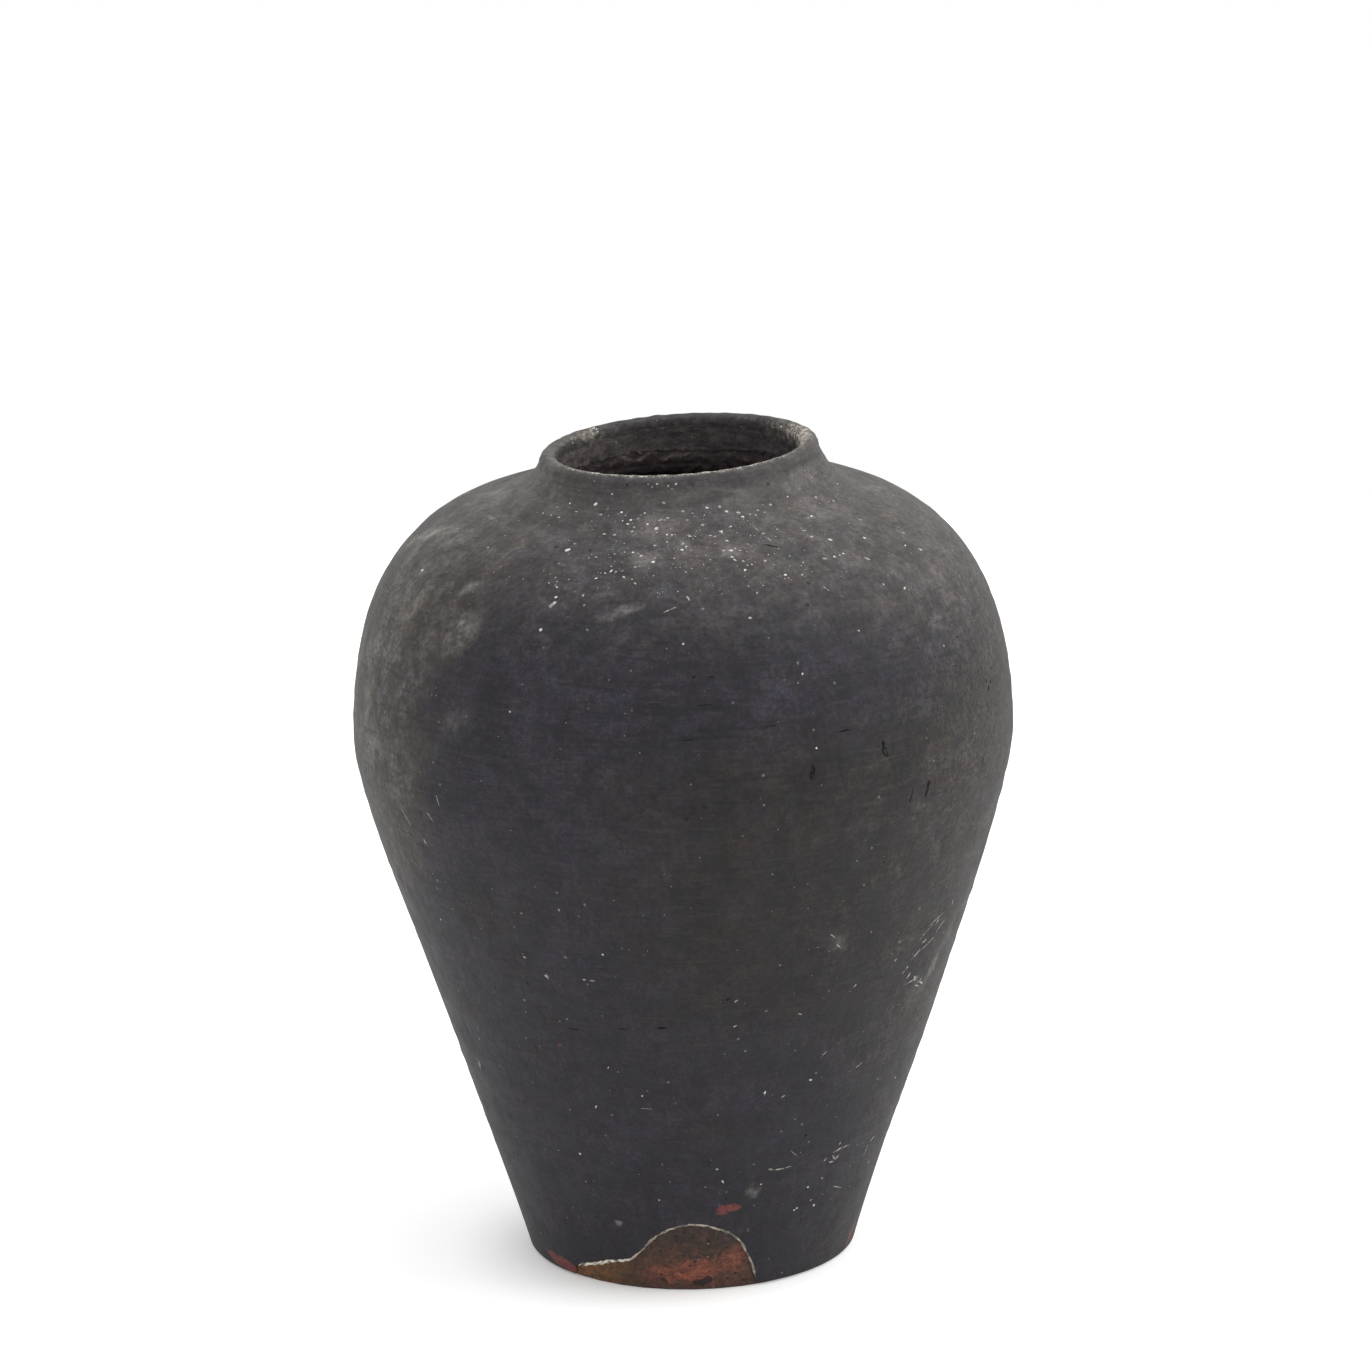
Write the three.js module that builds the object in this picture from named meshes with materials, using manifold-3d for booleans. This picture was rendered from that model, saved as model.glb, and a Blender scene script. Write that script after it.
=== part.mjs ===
// A hand-thrown clay vase. Four thrown sections, the floor disc, the lower wall, the shoulder and the lip
// ring, stand rim to rim on V-cut edges with luting slip between them. A dark coat covers the outside and
// the lip, apart from one bare patch at the foot, and a lining inside lets the porous clay hold water.
// Millimetres, +Z up. The origin is on the standing surface and on the axis, with the bare patch at -Y.
import * as THREE from 'three';
import { mergeVertices } from 'three/addons/utils/BufferGeometryUtils.js';
import Module from 'manifold-3d';

// Outside form, measured on the finished surface
const height = 300;           // standing surface to the top of the lip, on the axis
const footRadius = 59.5;
const footFlare = 15.3;       // degrees that the wall leans out where it leaves the foot
const bellyRadius = 119.1;
const bellyHeight = 195.5;
const neckRadius = 62.4;      // crease where the shoulder turns up into the neck
const neckLength = 18.4;      // that crease to the top of the lip
const neckFillet = 6;         // rounds the crease, as the length that it takes of the curve on each side
const shoulderSlope = 4.8;    // degrees that the shoulder still rises at the crease
const waistRadius = 51.5;     // pulls the neck in below the lip
const waistDrop = 10.2;       // that waist below the top of the lip
const lipRadius = 50.2;
const lipThickness = 7;
const lipTilt = 2.8;          // degrees, high at +X
const tiltReach = 30;         // the tilt dies out over this length below the lip

// Fullness of the curves, as the lengths of their handles
const footPull = 48.8;
const bellyPullBelow = 24.4;
const bellyPullAbove = 53.5;
const shoulderPull = 34.6;

// Clay walls and the two coats
const floorThickness = 11;
const footWall = 9;
const bellyWall = 7.5;
const neckWall = 7;
const coatThickness = 0.7;
const footBevel = 1;
const coatLift = 0.6;         // lower edge of the coat above the standing surface

// Seams between the sections
const lipRingHeight = 13;
const ledgeStep = 0.8;        // ledge under the lip ring, where the throat is wider than the mouth
const seamDepth = 2.5;        // depth of the V that is cut into each rim
const luteThickness = 1;
const hairline = 0.3;         // clearance between neighbouring solids

// Upper edge of the bare patch, seen from the front: x from the axis, height above the standing surface
const patchEdge = [
  [-42.2, 3.2], [-35, 8], [-23.3, 12], [-17.9, 17.5], [-12.3, 23.8],
  [0, 28.5], [13.2, 24.2], [19.4, 15.2], [22.7, 2],
];
const patchEdgeSteps = 24;

// Facets
const turnSteps = 40;
const lowerSteps = 7;
const shoulderSteps = 8;
const filletSteps = 3;
const neckSteps = 4;
const lipSteps = 5;

const radians = THREE.MathUtils.degToRad;
const point = (r, z) => new THREE.Vector2(r, z);

// Outside curves in the (r, z) plane, travelling up from the foot to the lip
const neckHeight = height - neckLength;
const lipCentre = point(lipRadius - lipThickness / 2, height - lipThickness / 2);
const lowerCurve = new THREE.CubicBezierCurve(
  point(footRadius, 0),
  point(footRadius + footPull * Math.sin(radians(footFlare)), footPull * Math.cos(radians(footFlare))),
  point(bellyRadius, bellyHeight - bellyPullBelow),
  point(bellyRadius, bellyHeight),
);
const shoulderCurve = new THREE.CubicBezierCurve(
  point(bellyRadius, bellyHeight),
  point(bellyRadius, bellyHeight + bellyPullAbove),
  point(
    neckRadius + shoulderPull * Math.cos(radians(shoulderSlope)),
    neckHeight - shoulderPull * Math.sin(radians(shoulderSlope)),
  ),
  point(neckRadius, neckHeight),
);
const neckCurve = new THREE.QuadraticBezierCurve(
  point(neckRadius, neckHeight),
  point(waistRadius, height - waistDrop),
  point(lipRadius, lipCentre.y),
);

// A stretch of another curve
class Portion extends THREE.Curve {
  constructor(whole, from, to) {
    super();
    this.whole = whole;
    this.place = (t) => THREE.MathUtils.lerp(from, to, t);
  }

  getPoint(t) {
    return this.whole.getPoint(this.place(t));
  }

  getTangent(t) {
    return this.whole.getTangent(this.place(t));
  }
}

// The crease at the root of the neck is rounded: what is left of the two curves, and the fillet between them
const filletStart = shoulderCurve.getUtoTmapping(0, shoulderCurve.getLength() - neckFillet);
const filletEnd = neckCurve.getUtoTmapping(0, neckFillet);
const shoulderFace = new Portion(shoulderCurve, 0, filletStart);
const neckFace = new Portion(neckCurve, filletEnd, 1);
const filletCurve = new THREE.QuadraticBezierCurve(
  shoulderFace.getPoint(1),
  shoulderCurve.getPoint(1),
  neckFace.getPoint(0),
);

// Depths below the finished outside
const clayDepth = coatThickness + hairline;
const footInside = clayDepth + footWall;
const bellyInside = clayDepth + bellyWall;
const neckInside = clayDepth + neckWall;

// A point of a curve, moved to its left: into the clay while the outside is followed upwards
function sunk(curve, t, depth) {
  const place = curve.getPoint(t);
  const way = curve.getTangent(t);
  return point(place.x - way.y * depth, place.y + way.x * depth);
}

// The stretch of a curve between two heights, at a depth that changes evenly along the curve.
// An infinite height reaches the curve's own end.
function stretch(curve, depths, heights, steps) {
  const at = (t) => sunk(curve, t, THREE.MathUtils.lerp(depths[0], depths[1], t));
  const [start, end] = heights.map((z) => {
    let low = 0;
    let high = 1;
    while (high - low > 1e-9) {
      const middle = (low + high) / 2;
      if (at(middle).y < z) low = middle;
      else high = middle;
    }
    return (low + high) / 2;
  });
  return Array.from({ length: steps + 1 }, (_, i) => at(start + ((end - start) * i) / steps));
}

// The rounded lip, from the outside over the top to the inside
function lipArc(radius) {
  return Array.from({ length: lipSteps + 1 }, (_, i) => {
    const turn = (Math.PI * i) / lipSteps;
    return point(lipCentre.x + radius * Math.cos(turn), lipCentre.y + radius * Math.sin(turn));
  });
}

// Lowest point of the V between the two edges of a rim
const dip = (a, b) => point((a.x + b.x) / 2, (a.y + b.y) / 2 - seamDepth);
const raised = (p, rise) => point(p.x, p.y + rise);

// Runs of points end to end, without the points that two runs share
function joined(...runs) {
  return runs.flat().filter((p, i, all) => i === 0 || p.distanceTo(all[i - 1]) > 1e-6);
}

// The lip ring sits low on one side: heights near the top tilt about the Y axis
function tilted(geometry) {
  const places = geometry.attributes.position;
  for (let i = 0; i < places.count; i += 1) {
    const z = places.getZ(i);
    const share = THREE.MathUtils.smoothstep(z, height - tiltReach, height);
    places.setZ(i, z + places.getX(i) * Math.tan(radians(lipTilt)) * share);
  }
  return geometry;
}

function turned(profile) {
  return tilted(new THREE.LatheGeometry(profile, turnSteps).rotateX(Math.PI / 2));
}

const ring = (profile) => turned([...profile, profile[0]]);

// Heights of the three seams: the rim below and the edge above
const seamHeight = luteThickness + 2 * hairline;
const footRim = floorThickness;
const bellyRim = bellyHeight;
const lipRim = height - lipRingHeight - seamHeight;

// The outside from the belly seam up: the shoulder, the fillet and the neck up to a height
function upperFace(depth, from, to, lastSteps) {
  const depths = [depth, depth];
  return joined(
    stretch(shoulderFace, depths, [from, Infinity], shoulderSteps),
    stretch(filletCurve, depths, [-Infinity, Infinity], filletSteps).slice(1),
    stretch(neckFace, depths, [-Infinity, to], lastSteps).slice(1),
  );
}

// Clay runs: outside ones go up, inside ones come down
const mouthRadius = lipRadius - lipThickness + clayDepth;
const throatRadius = mouthRadius + ledgeStep;
const footSide = stretch(lowerCurve, [clayDepth, clayDepth], [footBevel, footRim], 1);
const floorCorner = stretch(lowerCurve, [footInside, bellyInside], [footRim, bellyRim], 1)[0];
const lowerHeights = [footRim + seamHeight, bellyRim];
const lowerOutside = stretch(lowerCurve, [clayDepth, clayDepth], lowerHeights, lowerSteps);
const lowerInside = stretch(lowerCurve, [footInside, bellyInside], lowerHeights, lowerSteps).reverse();
const shoulderHeights = [bellyRim + seamHeight, Infinity];
const shoulderOutside = upperFace(clayDepth, shoulderHeights[0], lipRim, 1);
const bendEnd = sunk(shoulderCurve, 1, neckInside);
const bendRise = (bendEnd.x - throatRadius) * Math.tan(radians(shoulderSlope));
const bendCurve = new THREE.QuadraticBezierCurve(
  point(throatRadius, lipRim),
  point(throatRadius, bendEnd.y + bendRise),
  bendEnd,
);
const bendSteps = Array.from({ length: neckSteps + 1 }, (_, i) => i / neckSteps);
const bend = (depth) => bendSteps.map((t) => sunk(bendCurve, t, depth));
const shoulderInside = joined(
  bend(0),
  stretch(shoulderCurve, [bellyInside, neckInside], shoulderHeights, shoulderSteps).reverse(),
);
const lipOutside = stretch(neckCurve, [clayDepth, clayDepth], [lipRim + seamHeight, Infinity], 2);
const lipInside = [point(mouthRadius, lipRim + seamHeight)];

function floorDisc() {
  const flat = point(footSide[0].x - footBevel, 0);
  const top = [dip(footSide[1], floorCorner), floorCorner, point(0, footRim)];
  return turned([point(0, 0), flat, ...footSide, ...top]);
}

function lowerWall() {
  const rim = dip(lowerOutside.at(-1), lowerInside[0]);
  const edge = dip(lowerInside.at(-1), lowerOutside[0]);
  return ring([...lowerOutside, rim, ...lowerInside, edge]);
}

function shoulder() {
  const rim = dip(shoulderOutside.at(-1), shoulderInside[0]);
  const edge = dip(shoulderInside.at(-1), shoulderOutside[0]);
  return ring([...shoulderOutside, rim, ...shoulderInside, edge]);
}

function lipRing() {
  const arc = lipArc(lipThickness / 2 - clayDepth);
  const edge = dip(lipInside[0], lipOutside[0]);
  return ring([...joined(lipOutside, arc, lipInside), edge]);
}

// A ring of slip that fills the V between a rim and the edge that stands on it
function luting(rimOutside, rimInside, edgeOutside, edgeInside) {
  const below = [raised(rimInside, hairline), raised(rimOutside, hairline)];
  const above = [raised(edgeOutside, -hairline), raised(edgeInside, -hairline)];
  return ring([below[1], above[0], dip(...above), above[1], below[0], dip(...below)]);
}

const footLuting = () => luting(footSide[1], floorCorner, lowerOutside[0], lowerInside.at(-1));

function bellyLuting() {
  return luting(lowerOutside.at(-1), lowerInside[0], shoulderOutside[0], shoulderInside.at(-1));
}

const lipLuting = () => luting(shoulderOutside.at(-1), shoulderInside[0], lipOutside[0], lipInside[0]);

// One face of the outside coat, from its lower edge over the lip and down inside to the lip ring's edge
function coatFace(depth) {
  const lip = lipArc(lipThickness / 2 - depth);
  return joined(
    stretch(lowerCurve, [depth, depth], [coatLift, bellyHeight], lowerSteps),
    upperFace(depth, bellyHeight, Infinity, neckSteps - 1),
    lip,
    [point(lip.at(-1).x, lipInside[0].y)],
  );
}

// The bare patch as a prism that reaches from in front of the foot to the axis
function patchPrism() {
  const edge = new THREE.SplineCurve(patchEdge.map(([x, z]) => point(x, z)));
  const outline = edge.getPoints(patchEdgeSteps);
  const below = -footRadius;
  const shape = new THREE.Shape([point(outline[0].x, below), ...outline, point(outline.at(-1).x, below)]);
  const prism = new THREE.ExtrudeGeometry(shape, { depth: bellyRadius, bevelEnabled: false });
  return prism.rotateX(Math.PI / 2);
}

const solids = await Module();
solids.setup();

function solidOf(geometry) {
  const bare = geometry.clone().deleteAttribute('normal').deleteAttribute('uv');
  const merged = mergeVertices(bare, 1e-4);
  const mesh = new solids.Mesh({
    numProp: 3,
    vertProperties: new Float32Array(merged.attributes.position.array),
    triVerts: new Uint32Array(merged.index.array),
  });
  mesh.merge();
  return new solids.Manifold(mesh);
}

function geometryOf(solid) {
  const mesh = solid.getMesh();
  const geometry = new THREE.BufferGeometry();
  geometry.setAttribute('position', new THREE.BufferAttribute(mesh.vertProperties, 3));
  geometry.setIndex(new THREE.BufferAttribute(mesh.triVerts, 1));
  return geometry;
}

function outerCoat() {
  const whole = ring([...coatFace(0), ...coatFace(coatThickness).reverse()]);
  return geometryOf(solidOf(whole).subtract(solidOf(patchPrism())));
}

// One face of the lining, from the ledge down to the middle of the floor, at a distance from the clay
function liningFace(distance) {
  const floorHeight = footRim + distance;
  const lower = stretch(
    lowerCurve,
    [footInside + distance, bellyInside + distance],
    [floorHeight, bellyHeight],
    lowerSteps,
  );
  const upper = stretch(
    shoulderCurve,
    [bellyInside + distance, neckInside + distance],
    [bellyHeight, Infinity],
    shoulderSteps,
  );
  return joined(bend(-distance), upper.reverse(), lower.reverse(), [point(0, floorHeight)]);
}

function innerLining() {
  return turned([...liningFace(hairline).reverse(), ...liningFace(hairline + coatThickness)]);
}

const clay = () => new THREE.MeshStandardMaterial({ color: 0x8a4c2c, roughness: 0.9, metalness: 0 });
const slip = () => new THREE.MeshStandardMaterial({ color: 0xa27a58, roughness: 0.95, metalness: 0 });
const darkCoat = () => new THREE.MeshStandardMaterial({ color: 0x444346, roughness: 0.75, metalness: 0 });
const darkLining = () => new THREE.MeshStandardMaterial({ color: 0x2a2725, roughness: 0.9, metalness: 0 });

const vase = new THREE.Group();

function add(name, geometry, material) {
  const mesh = new THREE.Mesh(geometry, material);
  mesh.name = name;
  vase.add(mesh);
}

add('floor_disc', floorDisc(), clay());
add('foot_luting', footLuting(), slip());
add('lower_wall', lowerWall(), clay());
add('belly_luting', bellyLuting(), slip());
add('shoulder', shoulder(), clay());
add('lip_luting', lipLuting(), slip());
add('lip_ring', lipRing(), clay());
add('inner_lining', innerLining(), darkLining());
add('outer_coat', outerCoat(), darkCoat());

export default vase;
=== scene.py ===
import math
import bpy
import numpy as np
from mathutils import Matrix, Vector


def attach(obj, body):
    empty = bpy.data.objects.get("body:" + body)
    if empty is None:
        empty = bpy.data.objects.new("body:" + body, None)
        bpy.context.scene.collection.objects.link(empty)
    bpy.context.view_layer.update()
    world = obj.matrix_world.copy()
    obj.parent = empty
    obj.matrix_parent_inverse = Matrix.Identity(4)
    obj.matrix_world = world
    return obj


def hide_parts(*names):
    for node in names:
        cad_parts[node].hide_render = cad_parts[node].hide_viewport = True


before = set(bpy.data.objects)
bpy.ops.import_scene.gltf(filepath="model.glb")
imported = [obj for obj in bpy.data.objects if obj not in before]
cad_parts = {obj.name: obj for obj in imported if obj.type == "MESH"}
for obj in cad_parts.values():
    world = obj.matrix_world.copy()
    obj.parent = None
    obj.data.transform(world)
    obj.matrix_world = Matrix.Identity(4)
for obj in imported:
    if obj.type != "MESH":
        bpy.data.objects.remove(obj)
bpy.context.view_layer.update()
bpy.context.scene.view_settings.view_transform = "Standard"
print("frame loaded with", len(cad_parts), "nodes")

# Form of the vase, the same values as its solids, in metres and degrees
vaseForm = {
    "height": 0.300,
    "footRadius": 0.0595,
    "footFlare": 15.3,
    "footPull": 0.0488,
    "bellyRadius": 0.1191,
    "bellyHeight": 0.1955,
    "bellyPullBelow": 0.0244,
    "bellyPullAbove": 0.0535,
    "neckRadius": 0.0624,
    "neckLength": 0.0184,
    "neckFillet": 0.006,     # length that it takes of the curves on both sides of the neck root
    "shoulderSlope": 4.8,
    "shoulderPull": 0.0346,
    "waistRadius": 0.0515,
    "waistDrop": 0.0102,
    "lipRadius": 0.0502,
    "lipThickness": 0.0070,
    "lipTilt": 2.8,          # high at +X
    "tiltReach": 0.030,      # length below the lip over which the tilt dies out
    "coatThickness": 0.0007,
    "innerReach": 0.014,     # how far the coat can run down inside the mouth
    "innerTaper": 0.03,      # share of that by which it narrows
    "lineSpacing": 0.0002,
    "lineSoftening": 0.0014,
    "neckRowsFrom": 0.012,   # closer rows begin this far below the neck root
}

# View of the photograph
photoCamera = {
    "elevation": 15.5,
    "distance": 2.400,
    "aim": (0.0008, 0.0, 0.2103),
    "roll": 1.0,             # the picture leans anticlockwise
    "focalPixels": 6655,
    "pictureWidth": 1370,
    "sensor": 36,
    "rayReach": (-0.20, 0.08),    # stretch of a pixel's ray that is searched, from the aim's distance
    "raySteps": 2801,
}


# small helpers for curves and fields

# Bezier curve through repeated halving: each level blends neighbouring corners by the share t
def bezier(corners, steps):
    t = np.linspace(0, 1, steps)[:, None]
    level = [np.array(corner, float)[None, :] + 0 * t for corner in corners]
    while len(level) > 1:
        level = [(1 - t) * a + t * b for a, b in zip(level, level[1:])]
    return level[0]


def smoothStep(low, high, value):
    t = np.clip((value - low) / (high - low), 0, 1)
    return t * t * (3 - 2 * t)


# Bell curve: one at no distance, dying out over the reach
def bell(distance, reach):
    return np.exp(-((distance / reach) ** 2))


def wrapped(degrees):
    return (degrees + 180) % 360 - 180


# Smooth field on the turned surface: a sum of cosines with whole numbers of waves round the axis and
# free wave lengths along the profile, drawn from a fixed seed
def waveField(seed, angle, along, count, turns, lengths):
    draw = np.random.default_rng(seed)
    total = 0 * (angle + along)
    for _ in range(count):
        turn = draw.integers(turns[0], turns[1] + 1)
        wave = 2 * np.pi / draw.uniform(*lengths) * draw.choice((-1, 1))
        total = total + np.cos(turn * angle + wave * along + draw.uniform(0, 2 * np.pi))
    return total / math.sqrt(count / 2)


# The same field round the axis alone
def roundField(seed, angle, count, turns):
    return waveField(seed, angle, 0 * angle, count, turns, (0.1, 0.2))


# Curve through a few knots: cubic pieces whose slope at a knot is the harmonic mean of the slopes on both
# sides of it, or none where they differ in sign, so that it never swings past a knot
def throughKnots(knots, x):
    kx, ky = np.array(knots, float).T
    secant = np.diff(ky) / np.diff(kx)
    before, after = secant[:-1], secant[1:]
    mean = 2 * before * after / np.where(before * after > 0, before + after, 1)
    slope = np.concatenate([secant[:1], np.where(before * after > 0, mean, 0), secant[-1:]])
    i = np.clip(np.searchsorted(kx, x) - 1, 0, len(kx) - 2)
    width = kx[i + 1] - kx[i]
    t = np.clip((x - kx[i]) / width, 0, 1)
    return (
        (2 * t**3 - 3 * t**2 + 1) * ky[i] + (t**3 - 2 * t**2 + t) * width * slope[i]
        + (3 * t**2 - 2 * t**3) * ky[i + 1] + (t**3 - t**2) * width * slope[i + 1]
    )


def runLength(line):
    return np.concatenate([[0], np.cumsum(np.hypot(*np.diff(line, axis=0).T))])


# Points on each stretch of the outside line
lineSteps = {"lower": 700, "shoulder": 400, "fillet": 60, "neck": 240, "lip": 90, "inside": 80}


# Outside line of the vase in the (radius, height) plane, from the foot over the lip and down inside
def outsideLine():
    f = vaseForm
    flare, slope = math.radians(f["footFlare"]), math.radians(f["shoulderSlope"])
    neckHeight = f["height"] - f["neckLength"]
    lipHalf = f["lipThickness"] / 2
    foot = (f["footRadius"], 0)
    belly = (f["bellyRadius"], f["bellyHeight"])
    neck = (f["neckRadius"], neckHeight)
    lipStart = (f["lipRadius"], f["height"] - lipHalf)
    footHandle = (foot[0] + f["footPull"] * math.sin(flare), f["footPull"] * math.cos(flare))
    belowBelly = (belly[0], belly[1] - f["bellyPullBelow"])
    aboveBelly = (belly[0], belly[1] + f["bellyPullAbove"])
    pull = f["shoulderPull"]
    neckHandle = (neck[0] + pull * math.cos(slope), neck[1] - pull * math.sin(slope))
    waist = (f["waistRadius"], f["height"] - f["waistDrop"])
    lower = bezier([foot, footHandle, belowBelly, belly], lineSteps["lower"])
    shoulder = bezier([belly, aboveBelly, neckHandle, neck], lineSteps["shoulder"])
    neckCurve = bezier([neck, waist, lipStart], lineSteps["neck"])
    shoulder = shoulder[runLength(shoulder) < runLength(shoulder)[-1] - f["neckFillet"]]
    neckCurve = neckCurve[runLength(neckCurve) > f["neckFillet"]]
    fillet = bezier([tuple(shoulder[-1]), neck, tuple(neckCurve[0])], lineSteps["fillet"])
    turn = np.linspace(0, np.pi, lineSteps["lip"])
    lipMiddle = f["lipRadius"] - lipHalf
    lip = np.stack([lipMiddle + lipHalf * np.cos(turn), lipStart[1] + lipHalf * np.sin(turn)], 1)
    drop = np.linspace(0, f["innerReach"], lineSteps["inside"])
    inside = np.stack([f["lipRadius"] - f["lipThickness"] - f["innerTaper"] * drop, lipStart[1] - drop], 1)
    return np.vstack([lower, shoulder[1:], fillet[1:], neckCurve[1:], lip[1:], inside[1:]])


# Evenly spaced copy of a line, softened over a short length so that corners get a small fillet
def softened(line, spacing, reach):
    length = runLength(line)
    even = np.arange(0, length[-1], spacing)
    points = np.stack([np.interp(even, length, line[:, k]) for k in (0, 1)], 1)
    half = max(1, int(reach / spacing))
    window = np.hanning(2 * half + 3)[1:-1]
    before = 2 * points[0] - points[half:0:-1]
    after = 2 * points[-1] - points[-2:-half - 2:-1]
    padded = np.vstack([before, points, after])
    soft = np.stack([np.convolve(padded[:, k], window / window.sum(), "valid") for k in (0, 1)], 1)
    return even, soft


lineAlong, lineSoft = softened(outsideLine(), vaseForm["lineSpacing"], vaseForm["lineSoftening"])
rootIndex = int(np.argmax(lineSoft[:, 1] > vaseForm["height"] - vaseForm["neckLength"]))
lineWay = np.gradient(lineSoft, axis=0)
lineWay /= np.hypot(*lineWay.T)[:, None]
topIndex = int(np.argmax(lineSoft[:, 1]))
lipTop = lineAlong[topIndex]
lipInside = lipTop + math.pi * vaseForm["lipThickness"] / 4
neckStart = lineAlong[rootIndex] - vaseForm["neckRowsFrom"]


def alongAtHeight(height):
    return np.interp(height, lineSoft[:topIndex, 1], lineAlong[:topIndex])


def heightAt(along):
    return np.interp(along, lineAlong, lineSoft[:, 1])


def radiusAt(along):
    return np.interp(along, lineAlong, lineSoft[:, 0])


# The lip ring sits low on one side
def tilted(x, z):
    share = smoothStep(vaseForm["height"] - vaseForm["tiltReach"], vaseForm["height"], z)
    return z + x * math.tan(math.radians(vaseForm["lipTilt"])) * share


# Point and outward normal at an angle from the front and a distance along the outside line
def onLine(angle, along, rise):
    wayR = np.interp(along, lineAlong, lineWay[:, 0])
    wayZ = np.interp(along, lineAlong, lineWay[:, 1])
    radius = radiusAt(along) + wayZ * rise
    height = heightAt(along) - wayR * rise
    x, y = radius * np.sin(angle), -radius * np.cos(angle)
    normal = np.stack(np.broadcast_arrays(wayZ * np.sin(angle), -wayZ * np.cos(angle), -wayR), -1)
    return np.stack(np.broadcast_arrays(x, y, tilted(x, height)), -1), normal


# marks placed by pixels of the photograph

# Ray through a pixel: the camera looks along its aim, with the picture leaning by its roll
def pixelRays(pixels):
    c = photoCamera
    lean, rise = math.radians(c["roll"]), math.radians(c["elevation"])
    u = np.array(pixels, float)[:, 0] - c["pictureWidth"] / 2
    v = c["pictureWidth"] / 2 - np.array(pixels, float)[:, 1]
    across = u * math.cos(lean) + v * math.sin(lean)
    upward = v * math.cos(lean) - u * math.sin(lean)
    back = np.array([0, -math.cos(rise), math.sin(rise)])
    up = np.array([0, math.sin(rise), math.cos(rise)])
    way = across[:, None] * np.array([1.0, 0, 0]) + upward[:, None] * up - c["focalPixels"] * back
    return np.array(c["aim"]) + back * c["distance"], way / np.linalg.norm(way, axis=1)[:, None]


# Where those rays first meet the outside, or pass it most closely if they just miss it
def onCoat(pixels):
    start, way = pixelRays(pixels)
    near, far = photoCamera["rayReach"]
    steps = photoCamera["distance"] + np.linspace(near, far, photoCamera["raySteps"])
    places = start + way[:, None, :] * steps[None, :, None]
    share = smoothStep(vaseForm["height"] - vaseForm["tiltReach"], vaseForm["height"], places[..., 2])
    level = places[..., 2] - places[..., 0] * math.tan(math.radians(vaseForm["lipTilt"])) * share
    outline = np.interp(level, lineSoft[:topIndex, 1], lineSoft[:topIndex, 0], right=0)
    gap = np.hypot(places[..., 0], places[..., 1]) - outline
    first = np.where(gap.min(axis=1) < 0, np.argmax(gap < 0, axis=1), np.argmin(gap, axis=1))
    found = places[np.arange(len(first)), first]
    level = level[np.arange(len(first)), first]
    return np.arctan2(found[:, 0], -found[:, 1]), alongAtHeight(level)


# Place and turn of a mark on the outside: first axis along the mark, second across it, third outward
def markFrame(pixel, lean):
    angle, along = onCoat([pixel])
    place, normal = onLine(angle, along, 0 * angle)
    east = Vector((math.cos(angle[0]), math.sin(angle[0]), 0))
    outward = Vector(normal[0])
    upward = outward.cross(east)
    c, s = math.cos(math.radians(lean)), math.sin(math.radians(lean))
    axes = Matrix((east * c + upward * s, upward * c - east * s, outward)).transposed()
    return tuple(place[0]), tuple(axes.to_euler())


# meshes from grids of points

# Quads over a grid of points (rows, columns): rows climb the outside and columns go round from the front;
# a grid that is open one way gets a face over each of its two open ends
def gridPiece(name, points, closeRows, closeColumns, values=None):
    rows, columns = points.shape[:2]
    row = np.arange(rows if closeRows else rows - 1)[:, None]
    column = np.arange(columns if closeColumns else columns - 1)[None, :]
    nextRow, nextColumn = (row + 1) % rows, (column + 1) % columns
    corners = [row * columns + column, row * columns + nextColumn]
    corners += [nextRow * columns + nextColumn, nextRow * columns + column]
    faces = np.stack(corners, -1).reshape(-1, 4).tolist()
    if not closeRows:
        faces += [list(range(columns))[::-1], list(range((rows - 1) * columns, rows * columns))]
    if not closeColumns:
        first, last = range(0, rows * columns, columns), range(columns - 1, rows * columns, columns)
        faces += [list(first), list(last)[::-1]]
    return facePiece(name, points.reshape(-1, 3), faces, values)


def facePiece(name, points, faces, values=None):
    mesh = bpy.data.meshes.new(name)
    mesh.from_pydata(points, [], faces)
    mesh.polygons.foreach_set("use_smooth", np.ones(len(mesh.polygons), bool))
    for label, value in (values or {}).items():
        layer = mesh.attributes.new(label, "FLOAT", "POINT")
        layer.data.foreach_set("value", np.ascontiguousarray(value, np.float32).ravel())
    mesh.update()
    piece = bpy.data.objects.new(name, mesh)
    bpy.context.scene.collection.objects.link(piece)
    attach(piece, "root")
    return piece


# dark coat

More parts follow.
